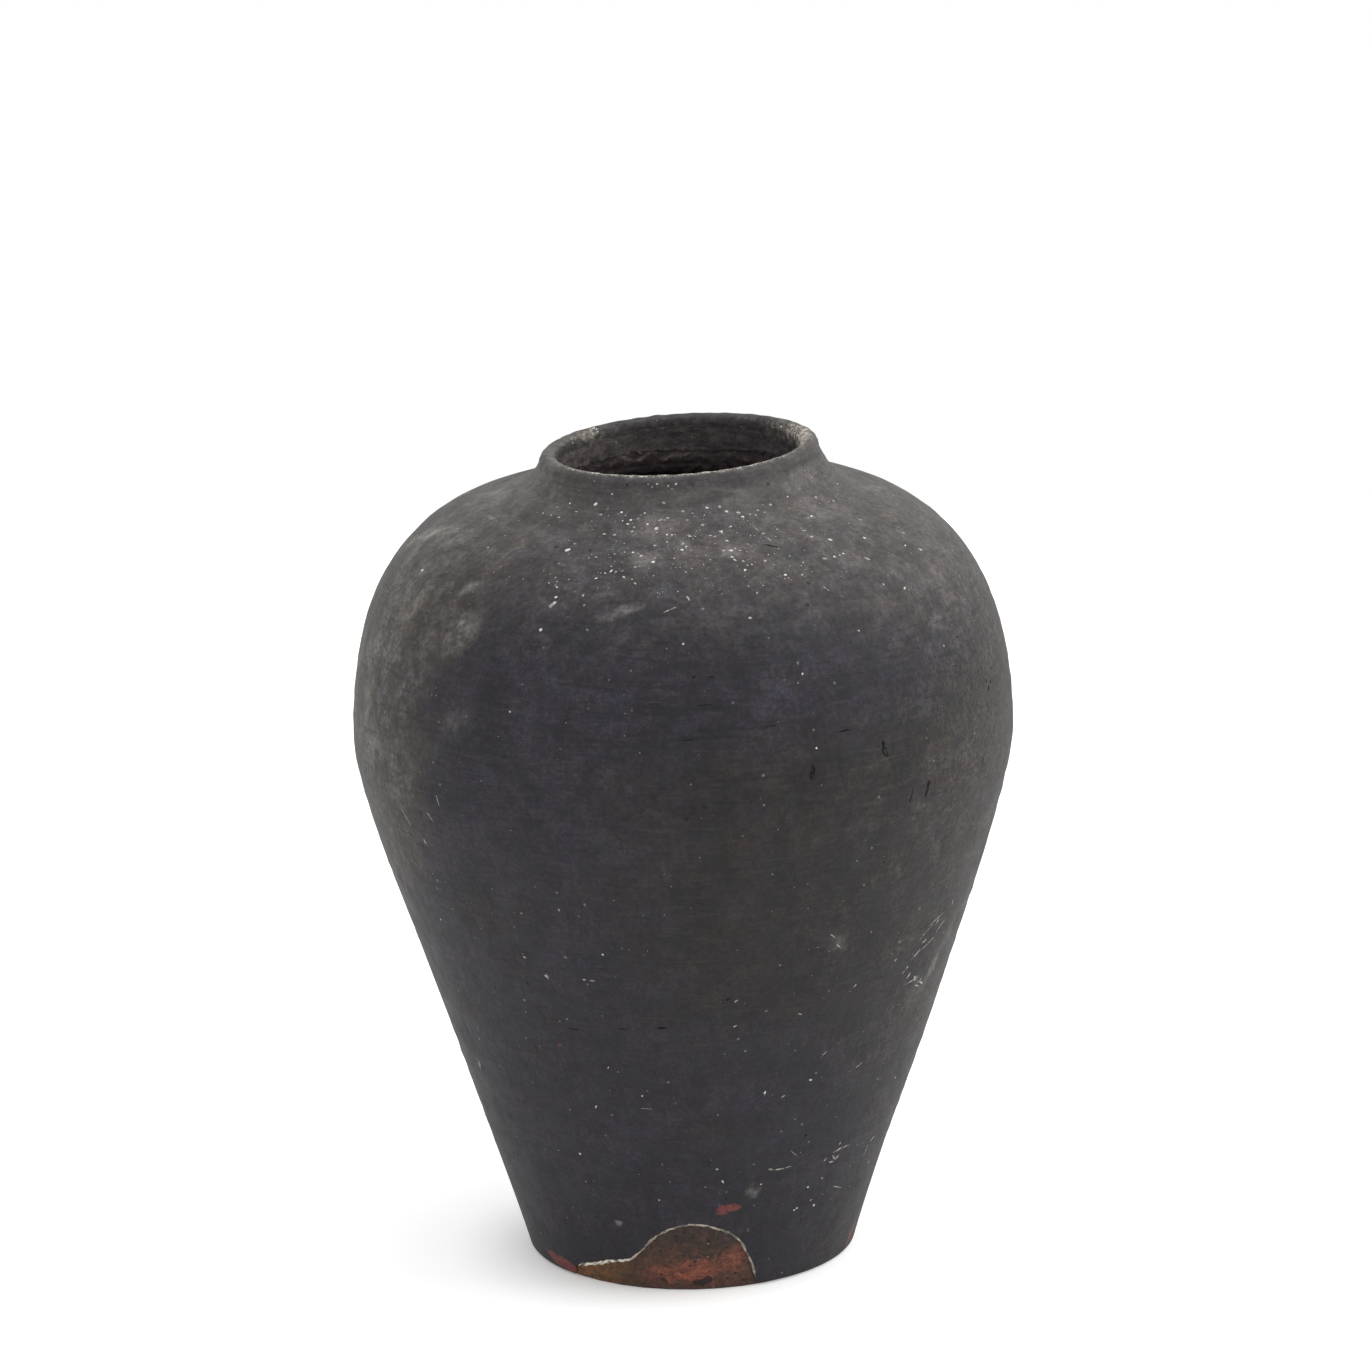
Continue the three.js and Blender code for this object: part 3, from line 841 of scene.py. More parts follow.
def makeCoatFinish():
    f = coatFinish
    material, tree, shader, coords = newFinish("charcoalCoat", f["roughness"], f["specular"])
    zone, texture, over = layering(tree, coords, coatZones, coatNoises, f)

    def zones(first, firstName, second, secondName):
        return times(tree, zone(first, firstName), zone(second, secondName))

    axes = put(tree, "SeparateXYZ", None, Vector=coords).outputs
    squares = [calc(tree, "POWER", axes[name], 2.0) for name in ("X", "Y")]
    across = calc(tree, "SQRT", calc(tree, "ADD", *squares))
    # the back repeats the front's zones, because the arcsine stays within 90 degrees
    turn = calc(tree, "ARCSINE", calc(tree, "DIVIDE", axes["X"], across))
    turn = times(tree, turn, 180 / math.pi)
    height = axes["Z"]
    broad, slow, cloud = texture("broad"), texture("slow"), texture("cloud")
    patchy, fine, grain = texture("patchy"), texture("fine"), texture("grain")
    tint = mixed(tree, zone(texture("tint"), "tint"), f["slate"], f["rust"])
    slowTint = mixed(tree, zone(texture("slowTint"), "tint"), f["slate"], f["rust"])
    dashes, strokes = texture("dashes"), texture("strokes")

    # blue-black firing colour in front, with a slanting ragged edge on the left
    ragged = times(tree, calc(tree, "SUBTRACT", cloud, 0.5), f["raggedness"])
    leftEdge = calc(tree, "ADD", zone(height, "leftEdge"), zone(height, "leftEdgeHigh"))
    fromLeft = zone(calc(tree, "ADD", calc(tree, "SUBTRACT", turn, leftEdge), ragged), "leftFade")
    rightEdge = calc(tree, "ADD", zone(height, "rightEdge"), zone(height, "rightEdgeLow"))
    fromRight = zone(calc(tree, "SUBTRACT", calc(tree, "ADD", turn, ragged), rightEdge), "rightFade")
    level = timesPlus(tree, calc(tree, "SUBTRACT", cloud, 0.5), f["dustWave"], height)
    flash = times(tree, fromLeft, fromRight)
    flash = most(tree, flash, zone(broad, "darkPatches"))
    lower = zone(height, "lower")
    brownShare = zone(broad, "brownPatches")
    brownZone = zones(height, "brownTop", height, "brownBottom")
    brownZone = times(tree, brownZone, zone(turn, "brownSide"))
    brownZone = times(tree, brownZone, zone(cloud, "brownCloud"))
    cool = mixed(tree, most(tree, brownShare, brownZone), f["blueBlack"], f["brownBlack"])
    warm = mixed(tree, zones(cloud, "greyCloud", turn, "greySide"), f["umber"], f["warmGrey"])
    colour = mixed(tree, flash, warm, cool)
    onRight = zones(turn, "rightSide", height, "rightTop")
    colour = over(colour, times(tree, onRight, f["rightSoot"]), "soot")

    # dust on the upper shoulder, neck and lip, with painted light making it stronger on the right and
    # painted shade making it weaker at the back, and ash rubbed on the left side
    rising = calc(tree, "ADD", level, zone(turn, "dustClimb"))
    dust = zones(rising, "dustRise", patchy, "dustPatches")
    # painted light: the dust grows stronger towards the lit right side
    dust = times(tree, dust, zone(turn, "dustAndLightSide"))
    atBack = zone(axes["Y"], "back")
    # painted shade: less dust at the back, where the lip's roll shows darker
    dust = times(tree, dust, timesPlus(tree, atBack, f["backDustAndShade"], 1.0))
    dust = times(tree, dust, zone(height, "dustLip"))
    colour = over(colour, dust, "dust")
    side = zones(turn, "ashSide", height, "ashHeight")
    side = times(tree, side, zone(texture("smoky"), "ashStreaks"))
    colour = over(colour, times(tree, side, zone(cloud, "ashCloud")), "ash")

    # raw dark face inside the mouth, below the roll of the lip, with painted light on the left wall and
    # painted shade just below the roll
    lipLevel = timesPlus(tree, axes["X"], -math.tan(math.radians(vaseForm["lipTilt"])), height)
    lipLevel = timesPlus(tree, calc(tree, "SUBTRACT", patchy, 0.5), f["lipWave"], lipLevel)
    inside = zones(across, "mouthWall", lipLevel, "mouthRoll")
    inside = times(tree, inside, zone(height, "mouthFloor"))
    raw = mixed(tree, zone(texture("scraped"), "scraped"), f["insideDeep"], f["inside"])
    # painted light with dust: the left inner wall, which faces the lamps on the right, is lighter in crumbly
    # patches
    raw = over(raw, zones(axes["X"], "dustAndLightLeft", fine, "dustAndLightCrumbs"), "insideDustAndLight")
    # painted shade: darker just below the roll of the lip, lighter further down
    raw = over(raw, zone(lipLevel, "mouthShade"), "deep")
    colour = mixed(tree, inside, colour, raw)

    # mottling, calmer on the lip, with tool dashes round the belly and brush strokes below it
    tinted = calc(tree, "SUBTRACT", f["tint"], times(tree, dust, f["tintUnderDust"]))
    tinted = calc(tree, "SUBTRACT", tinted, zone(calc(tree, "ABSOLUTE", turn), "tintCalm"))
    mottled = mixed(tree, tinted, colour, tint, "OVERLAY")
    mottled = mixed(tree, f["slowTint"], mottled, slowTint, "OVERLAY")
    for value, name in ((slow, "slow"), (cloud, "cloud"), (patchy, "patchy")):
        mottled = mixed(tree, 1.0, mottled, zone(value, name), "MULTIPLY")
    blotchy = zones(lipLevel, "calmShoulder", lipLevel, "calmNeck")
    for name in ("calmRight", "calmLeft"):
        blotchy = times(tree, blotchy, zone(turn, name))
    blotchy = times(tree, blotchy, timesPlus(tree, atBack, f["backCalm"], 1.0))
    colour = mixed(tree, blotchy, colour, mottled)
    onNeck = zone(lipLevel, "neck")
    sharp = timesPlus(tree, onNeck, f["neckCalm"], 1.0)
    layers = [(sharp, fine, "fine"), (sharp, grain, "grain"), (onNeck, dashes, "neckDashes")]
    for share, value, name in layers:
        colour = mixed(tree, share, colour, zone(value, name), "MULTIPLY")
    coarse = zones(turn, "coarseSide", height, "coarseTop")
    for value, name in ((fine, "coarseFine"), (grain, "coarseGrain")):
        colour = mixed(tree, coarse, colour, zone(value, name), "MULTIPLY")
    girth = zones(height, "girthLow", height, "girthHigh")
    colour = over(colour, times(tree, zone(dashes, "darkDashes"), girth), "soot")
    colour = over(colour, times(tree, zone(dashes, "paleDashes"), girth), "warmGrey")
    colour = over(colour, times(tree, zone(strokes, "strokes"), lower), "deep")
    colour = over(colour, times(tree, lower, f["lowerShade"]), "deep")

    # smears, specks, lip wear with a painted highlight along the ledge, pits and flakes
    loose = bentVector(tree, coords, *rimBends["loose"])
    soot = times(tree, marksMask(tree, loose, sootSmears, 1.0), zone(dashes, "sootDashes"))
    colour = over(colour, soot, "soot")
    broken = zones(fine, "chalkFine", patchy, "chalkPatches")
    colour = over(colour, times(tree, marksMask(tree, loose, chalkSmears, 1.0), broken), "chalk")
    specks = scattered(tree, coords, "coatSpecks")
    colour = over(colour, times(tree, specks, f["specks"]), "grit")
    colour = over(colour, times(tree, attribute(tree, "wearAndHighlight"), zone(fine, "wornFine")), "grit")
    pinholes = scattered(tree, coords, "coatPinholes")
    close = bentVector(tree, coords, *rimBends["close"])
    colour = over(colour, times(tree, pinholes, f["pinholes"]), "pit")
    flake = marksMask(tree, close, redFlakes, 0.3)
    bare = mixed(tree, zone(fine, "bareFine"), f["redClay"], f["umber"])
    colour = mixed(tree, flake, colour, bare)
    tree.links.new(colour, shader.inputs["Base Color"])

    rough = ramp(tree, cloud, 0.3, 0.7, f["roughness"] - 0.06, f["roughness"] + 0.10)
    tree.links.new(rough, shader.inputs["Roughness"])
    relief = times(tree, dashes, 0.5)
    for value, share in ((fine, 0.9), (cloud, 0.6), (pinholes, -1.5), (specks, 0.4)):
        relief = timesPlus(tree, value, share, relief)
    bumpOn(tree, shader, relief, f["bump"])
    return material


# lining inside the neck and body

lining = {
    "columns": 240,
    "mouthRadius": 0.04345,  # just behind the face of the coat that runs over the lip
    "topDrop": 0.0040,       # upper edge below the top of the lip
    "bendDrop": 0.0120,      # where the neck starts to open out, below the top of the lip
    "wallFoot": 0.0107,      # depths of its face below the outside
    "wallBelly": 0.0098,
    "wallNeck": 0.0100,
    "thickness": 0.0006,
    "ledgeAt": -170,         # middle of the pale ledge, degrees from the front
    "ledgeReach": 26,
    "ledgeDrop": 0.0108,     # below the upper edge
    "ledgeRise": 0.0006,
    "ledgeWidth": 0.0008,
    "ledgeDrift": 0.0007,
    "neckReach": 0.034,      # close rows down the neck, and wide ones over the floor
    "floorReach": 0.050,
    "toolMarks": 0.00016,
    "roughMarks": 0.00020,
    "cornerReach": 0.006,
    "floorHeight": 0.0120,
    "neckRows": 60,
    "bodyRows": 60,
    "floorRows": 10,
    "backEvery": 5,
}


# Line of the lining from its upper edge down to the middle of the floor
def liningLine():
    c = lining
    top = vaseForm["height"]
    bellyAlong = alongAtHeight(vaseForm["bellyHeight"])
    neckAlong = alongAtHeight(top - vaseForm["neckLength"])
    along = np.linspace(neckAlong - 0.002, alongAtHeight(c["floorHeight"] + 0.002), 500)
    depth = np.interp(along, [0, bellyAlong, neckAlong], [c["wallFoot"], c["wallBelly"], c["wallNeck"]])
    wayR = np.interp(along, lineAlong, lineWay[:, 0])
    wayZ = np.interp(along, lineAlong, lineWay[:, 1])
    body = np.stack([radiusAt(along) - wayZ * depth, heightAt(along) + wayR * depth], 1)
    body = body[body[:, 1] > c["floorHeight"] + 0.004]
    neckTop = (c["mouthRadius"], top - c["topDrop"])
    neckBend = (c["mouthRadius"], top - c["bendDrop"])
    bend = bezier([neckBend, (c["mouthRadius"], body[0, 1] + 0.0015), tuple(body[0])], 60)
    wallEnd, low = body[-1], c["floorHeight"]
    corner = bezier([tuple(wallEnd), (wallEnd[0] - 0.0013, low), (wallEnd[0] - c["cornerReach"], low)], 20)
    floor = np.stack([np.linspace(corner[-1, 0], 0.0003, 60), np.full(60, c["floorHeight"])], 1)
    return np.vstack([[neckTop], bend, body[1:], corner[1:], floor[1:]])


# Turned grid of the lining: rows go down the inside with tool marks, and the back returns just behind it
def makeLining(material):
    c = lining
    along, line = softened(liningLine(), 0.0004, 0.0012)
    way = np.gradient(line, axis=0)
    way /= np.hypot(*way.T)[:, None]
    inward = np.stack([way[:, 1], -way[:, 0]], 1)    # away from the clay while going down
    neckEnd, floorStart = c["neckReach"], along[-1] - c["floorReach"]
    rows = np.concatenate([
        np.linspace(0, neckEnd, c["neckRows"], endpoint=False),
        np.linspace(neckEnd, floorStart, c["bodyRows"], endpoint=False),
        np.linspace(floorStart, along[-1], c["floorRows"]),
    ])[:, None]
    angle = np.linspace(-np.pi, np.pi, c["columns"], endpoint=False)[None, :]
    marks = waveField(41, angle, rows, 20, (0, 3), (0.004, 0.012))
    rough = waveField(42, angle, rows, 40, (6, 70), (0.0025, 0.012))
    calm = smoothStep(0.008, 0.016, rows) * (1 - smoothStep(along[-1] - 0.012, along[-1], rows))
    relief = calm * np.maximum(c["toolMarks"] * (marks + 1.2) + c["roughMarks"] * (rough + 1.4), 0)
    crumbled = np.clip(0.7 + 0.4 * waveField(43, angle, rows, 12, (6, 40), (0.05, 0.1)), 0, 1)
    ledge = bell(wrapped(np.degrees(angle) - c["ledgeAt"]), c["ledgeReach"]) * crumbled
    drift = c["ledgeDrift"] * roundField(44, angle, 12, (3, 40))
    ledge = ledge * bell(rows - c["ledgeDrop"] - drift, c["ledgeWidth"])
    relief = np.maximum(relief, c["ledgeRise"] * ledge)

    def spun(place, lift):
        r = np.interp(place, along, line[:, 0]) + np.interp(place, along, inward[:, 0]) * lift
        z = np.interp(place, along, line[:, 1]) + np.interp(place, along, inward[:, 1]) * lift
        x, y = r * np.sin(angle), -r * np.cos(angle)
        return np.stack(np.broadcast_arrays(x, y, tilted(x, z + 0 * angle)), -1)

    face = spun(rows, relief)
    backRows = np.vstack([rows[:1], rows[1:-1:c["backEvery"]], rows[-1:]])
    back = spun(backRows, -c["thickness"] * smoothStep(-0.004, 0.006, backRows))
    points = np.vstack([back[::-1], face])
    # the ledge mask also colours the finish: a pale line that is dust with a painted highlight
    values = {"ledge": np.vstack([0 * back[..., 0], ledge])}
    piece = gridPiece("neck_lining", points, False, True, values)
    piece.data.materials.append(material)
    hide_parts("inner_lining")
    print("neck lining:", len(piece.data.polygons), "quads")
    return piece


liningFinish = {
    "dark": shade(64, 57, 59),
    "dusty": shade(92, 83, 80),
    # pale line on the ledge ridge: dust with a painted highlight
    "ledge": shade(140, 130, 124),
    "pit": shade(42, 37, 37),
    "roughness": 0.85,
    "specular": 0.12,
    "fineness": 420.0,       # of the turning lines
    "crumbs": (420.0, 4.0, 0.65),
    "dustySpan": (0.45, 0.75),
    "lineSpan": (0.50, 0.70, 0.0, 0.6),
    "ledgeSpan": (0.40, 0.58, 0.4, 1.0),
    "specks": 0.5,
    "crumbRelief": 1.2,
    "bump": 0.0005,
}


def makeLiningFinish():
    f = liningFinish
    material, tree, shader, coords = newFinish("rawDarkInside", f["roughness"], f["specular"])
    lines = useGroup(tree, turningGroup, Vector=coords, Fineness=f["fineness"])["Lines"]
    crumbs = noise(tree, coords, *f["crumbs"])
    colour = mixed(tree, ramp(tree, crumbs, *f["dustySpan"]), f["dark"], f["dusty"])
    colour = mixed(tree, ramp(tree, lines, *f["lineSpan"]), colour, f["pit"])
    specks = scattered(tree, coords, "liningSpecks")
    colour = mixed(tree, times(tree, specks, f["specks"]), colour, f["dusty"])
    # painted highlight with dust: a pale crumbly line on the ledge ridge
    crumbled = times(tree, attribute(tree, "ledge"), ramp(tree, crumbs, *f["ledgeSpan"]))
    colour = mixed(tree, crumbled, colour, f["ledge"])
    tree.links.new(colour, shader.inputs["Base Color"])
    height = timesPlus(tree, lines, 1.0, times(tree, crumbs, f["crumbRelief"]))
    bumpOn(tree, shader, height, f["bump"])
    return material


# bare clay at the foot

bareClay = {
    "columns": 260,
    "rows": 90,
    "depth": 0.00088,        # its face below the coat's outside
    "back": 0.00098,
    "margin": 3.0,           # degrees that it runs on under the coat
    "top": 0.0310,
    "bottom": 0.0004,
    "relief": 0.00008,
    "footTuck": 0.0010,      # the lower edge turns in by this much, over this height
    "footRound": 0.0012,
    "backEvery": 6,
}


# Sheet of clay under the patch: angle across, height up, sunk below the coat, with a rounded lower edge
def makeBareClay(material):
    c = bareClay
    margin = math.radians(c["margin"])
    angle = np.linspace(patchFrom - margin, patchTo + margin, c["columns"])[None, :]
    height = np.linspace(c["bottom"], c["top"], c["rows"])[:, None]
    along = alongAtHeight(height)
    lumps = waveField(51, angle, height, 40, (10, 160), (0.002, 0.012))
    foot = c["footTuck"] * np.clip(1 - (height - c["bottom"]) / c["footRound"], 0, 1) ** 2
    points, _ = onLine(angle, along, -c["depth"] + c["relief"] * np.clip(lumps, -1.2, 1.2) - foot)
    every = -c["backEvery"]
    back, _ = onLine(angle, along[::every], -c["back"] - foot[::every] + 0 * angle)
    piece = gridPiece("bare_clay", np.vstack([points, back]), True, False)
    piece.data.materials.append(material)
    print("bare clay:", len(piece.data.polygons), "quads")
    return piece


clayFinish = {
    "umber": shade(52, 40, 35),
    "brown": shade(77, 52, 42),
    "brick": shade(124, 71, 55),
    "ochre": shade(120, 82, 48),
    "olive": shade(63, 50, 35),
    "pit": shade(22, 17, 16),
    # pale flecks, partly real flecks and partly painted glints
    "fleckAndGlint": shade(150, 128, 106),
    "greyGrain": shade(118, 106, 98),
    "darkGrain": shade(38, 30, 28),
    "roughness": 0.66,
    "specular": 0.32,
    "lowWave": 0.022,        # metres by which the clouds shift the brown's upper edge
    "dots": 0.7,             # shares of the layers
    "pits": 0.85,
    "flecksAndGlints": 0.7,
    "bump": 0.0003,
}

# Noises and zones of the bare clay, in the same terms as the coat's
clayNoises = {
    "cloud": (150.0, 4.0, 0.65),
    "fine": (620.0, 4.0, 0.7),
    "grain": (1500.0, 2.0, 0.6),
    "streaks": (700.0, 3.0, 0.6, (0.22, 0.22, 1.0)),
    "lumps": (330.0, 3.0, 0.6),
}
clayZones = {
    "low": (0.021, 0.012),
    "leftPart": (-0.008, -0.020),
    "ochreSide": (-0.018, -0.036),
    "greenStreaks": (0.44, 0.60, 0.0, 0.85),
    "darkLumps": (0.52, 0.66, 0.0, 0.32),
    "redLumps": (0.46, 0.34, 0.0, 0.16),
    "streaks": (0.36, 0.64, 0.78, 1.22),
    "fine": (0.36, 0.64, 0.72, 1.28),
    "greyGrains": (0.52, 0.70, 0.0, 0.16),
    "darkGrains": (0.46, 0.30, 0.0, 0.25),
}

# Brick-red places of the bare clay: pixel, half length, half width, lean, strength
brickPlaces = [
    ((690, 1273), 0.0170, 0.0062, 8, 1.0), ((668, 1276), 0.0120, 0.0045, 0, 0.9),
    ((735, 1260), 0.0085, 0.0070, 60, 0.65), ((590, 1270), 0.0040, 0.0030, 0, 0.5),
]

# Larger pits of the bare clay, in the same terms
clayPits = [
    ((702, 1284), 0.0032, 0.0022, 0, 1.0), ((708, 1281), 0.0020, 0.0018, 0, 1.0),
    ((696, 1283), 0.0018, 0.0016, 0, 0.9), ((663, 1281), 0.0022, 0.0008, -45, 0.8),
    ((682, 1274), 0.0010, 0.0008, 0, 0.9), ((672, 1276), 0.0010, 0.0008, 0, 0.9),
    ((676, 1237), 0.0011, 0.0008, 30, 1.0), ((673, 1236), 0.0007, 0.0006, 0, 0.9),
    ((666, 1268), 0.0013, 0.0006, 0, 0.9), ((689, 1268), 0.0009, 0.0006, 0, 0.9),
    ((696, 1273), 0.0008, 0.0006, 0, 0.9), ((729, 1266), 0.0008, 0.0006, 0, 0.9),
    ((744, 1281), 0.0022, 0.0008, 10, 0.9), ((749, 1264), 0.0008, 0.0007, 0, 0.9),
    ((720, 1255), 0.0009, 0.0005, 0, 0.8),
]


def makeClayFinish():
    f = clayFinish
    material, tree, shader, coords = newFinish("bareRedClay", f["roughness"], f["specular"])
    zone, texture, over = layering(tree, coords, clayZones, clayNoises, f)
    axes = put(tree, "SeparateXYZ", None, Vector=coords).outputs
    cloud, fine, grain, streaks = texture("cloud"), texture("fine"), texture("grain"), texture("streaks")
    level = timesPlus(tree, calc(tree, "SUBTRACT", cloud, 0.5), f["lowWave"], axes["Z"])
    colour = mixed(tree, zone(level, "low"), f["umber"], f["brown"])
    bent = bentVector(tree, coords, *rimBends["brick"])
    colour = over(colour, marksMask(tree, bent, brickPlaces, 0.7), "brick")
    leftPart = zone(axes["X"], "leftPart")
    colour = over(colour, zone(axes["X"], "ochreSide"), "ochre")
    colour = over(colour, times(tree, leftPart, zone(streaks, "greenStreaks")), "olive")
    lumps = texture("lumps")
    colour = over(colour, zone(lumps, "darkLumps"), "umber")
    colour = over(colour, zone(lumps, "redLumps"), "brick")
    for value, name in ((streaks, "streaks"), (fine, "fine")):
        colour = mixed(tree, 1.0, colour, zone(value, name), "MULTIPLY")
    colour = over(colour, zone(grain, "greyGrains"), "greyGrain")
    colour = over(colour, zone(grain, "darkGrains"), "darkGrain")
    pits = scattered(tree, coords, "clayPits")
    dots = scattered(tree, coords, "clayDots")
    pits = most(tree, pits, times(tree, dots, f["dots"]))
    close = bentVector(tree, coords, *rimBends["close"])
    pits = most(tree, pits, marksMask(tree, close, clayPits, 0.4))
    colour = over(colour, times(tree, pits, f["pits"]), "pit")
    # pale flecks in the clay, partly real flecks and partly painted glints
    flecksAndGlints = scattered(tree, coords, "clayFlecksAndGlints")
    colour = over(colour, times(tree, flecksAndGlints, f["flecksAndGlints"]), "fleckAndGlint")
    tree.links.new(colour, shader.inputs["Base Color"])
    height = timesPlus(tree, pits, -1.4, times(tree, fine, 0.8))
    bumpOn(tree, shader, timesPlus(tree, cloud, 0.6, height), f["bump"])
    return material


# pale bead along the patch edge

coatBead = {
    "points": 420,
    "sides": 10,
    "halfWidth": 0.00046,
    "halfHeight": 0.00028,
    "sink": 0.00022,
    "ripple": 0.24,
    "leftSwell": 0.55,       # thicker along the low left part
}


# Oval section carried along the patch edge: across the edge in the surface, and up along its normal
def makeCoatBead(material):
    c = coatBead
    share = np.linspace(0, 1, c["points"])
    angle = patchKnots[1][0] + (patchTo - patchKnots[1][0]) * 0.996 * share
    along = coatEdge(angle)
    centre, normal = onLine(angle, along, -c["sink"] + 0 * angle)
    way = np.gradient(centre, axis=0)
    way /= np.linalg.norm(way, axis=1)[:, None]
    across = np.cross(normal, way)
    swell = 1 + c["ripple"] * roundField(61, angle, 14, (20, 140))
    swell = swell * (1 + c["leftSwell"] * smoothStep(0.36, 0.24, share))
    swell = swell * smoothStep(-0.01, 0.06, share) * smoothStep(1, 0.98, share)
    turn = np.linspace(0, 2 * np.pi, c["sides"], endpoint=False)
    width = (c["halfWidth"] * swell)[:, None, None]
    height = (c["halfHeight"] * (0.4 + 0.6 * swell))[:, None, None]
    section = across[:, None, :] * np.cos(turn)[None, :, None] * width
    section = section + normal[:, None, :] * np.sin(turn)[None, :, None] * height
    points = centre[:, None, :] + section
    thick = smoothStep(0.40, 0.26, share)[:, None] + 0 * turn[None, :]
    piece = gridPiece("coat_bead", points, False, True, {"thick": thick})
    piece.data.materials.append(material)
    print("coat bead:", len(piece.data.polygons), "quads")
    return piece


beadFinish = {
    "cream": shade(176, 166, 152),
    "grey": shade(104, 97, 92),
    "white": shade(228, 221, 207),
    "noise": (420.0, 3.0, 0.6),
    "greySpan": (0.38, 0.62),
    "whiteSpan": (0.66, 0.44),
    "bump": 0.0002,
    "roughness": 0.75,
    "specular": 0.25,
}


def makeBeadFinish():
    f = beadFinish
    material, tree, shader, coords = newFinish("creamBead", f["roughness"], f["specular"])
    patchy = noise(tree, coords, *f["noise"])
    colour = mixed(tree, ramp(tree, patchy, *f["greySpan"]), f["cream"], f["grey"])
    whitish = times(tree, attribute(tree, "thick"), ramp(tree, patchy, *f["whiteSpan"]))
    colour = mixed(tree, whitish, colour, f["white"])
    tree.links.new(colour, shader.inputs["Base Color"])
    bumpOn(tree, shader, patchy, f["bump"])
    return material


# grit set in the coat

gritGrains = {
    "shoulderCount": 520,    # seeded on the front of the shoulder
    "shoulderFrom": 0.268,   # heights that they lie between
    "shoulderTo": 0.2885,
    "shoulderSpread": 30,    # degrees to each side
    "shoulderSize": (0.00010, 0.00034),
    "chipSize": (0.00014, 0.00042),
    "bodyCount": 300,        # seeded all over
    "bodyFrom": 0.035,
    "bodyTo": 0.288,
    "bodySize": (0.00007, 0.00020),
    "stretch": (0.55, 1.0),  # width for one of length
    "seed": 71,
    "sides": 8,
    "height": 0.00010,
    "pixelSize": 0.000305,   # metres for one pixel of a grain's stated size
}

# Chips along the lip: degrees from the front, spread, first and last place past the lip's top, count, size
lipChips = [
    (-2, 34, -0.0016, 0.0011, 120, 1.0),
    (102, 12, 0.0008, 0.0052, 40, 1.6),
    (-131, 9, 0.0010, 0.0050, 16, 1.4),
]

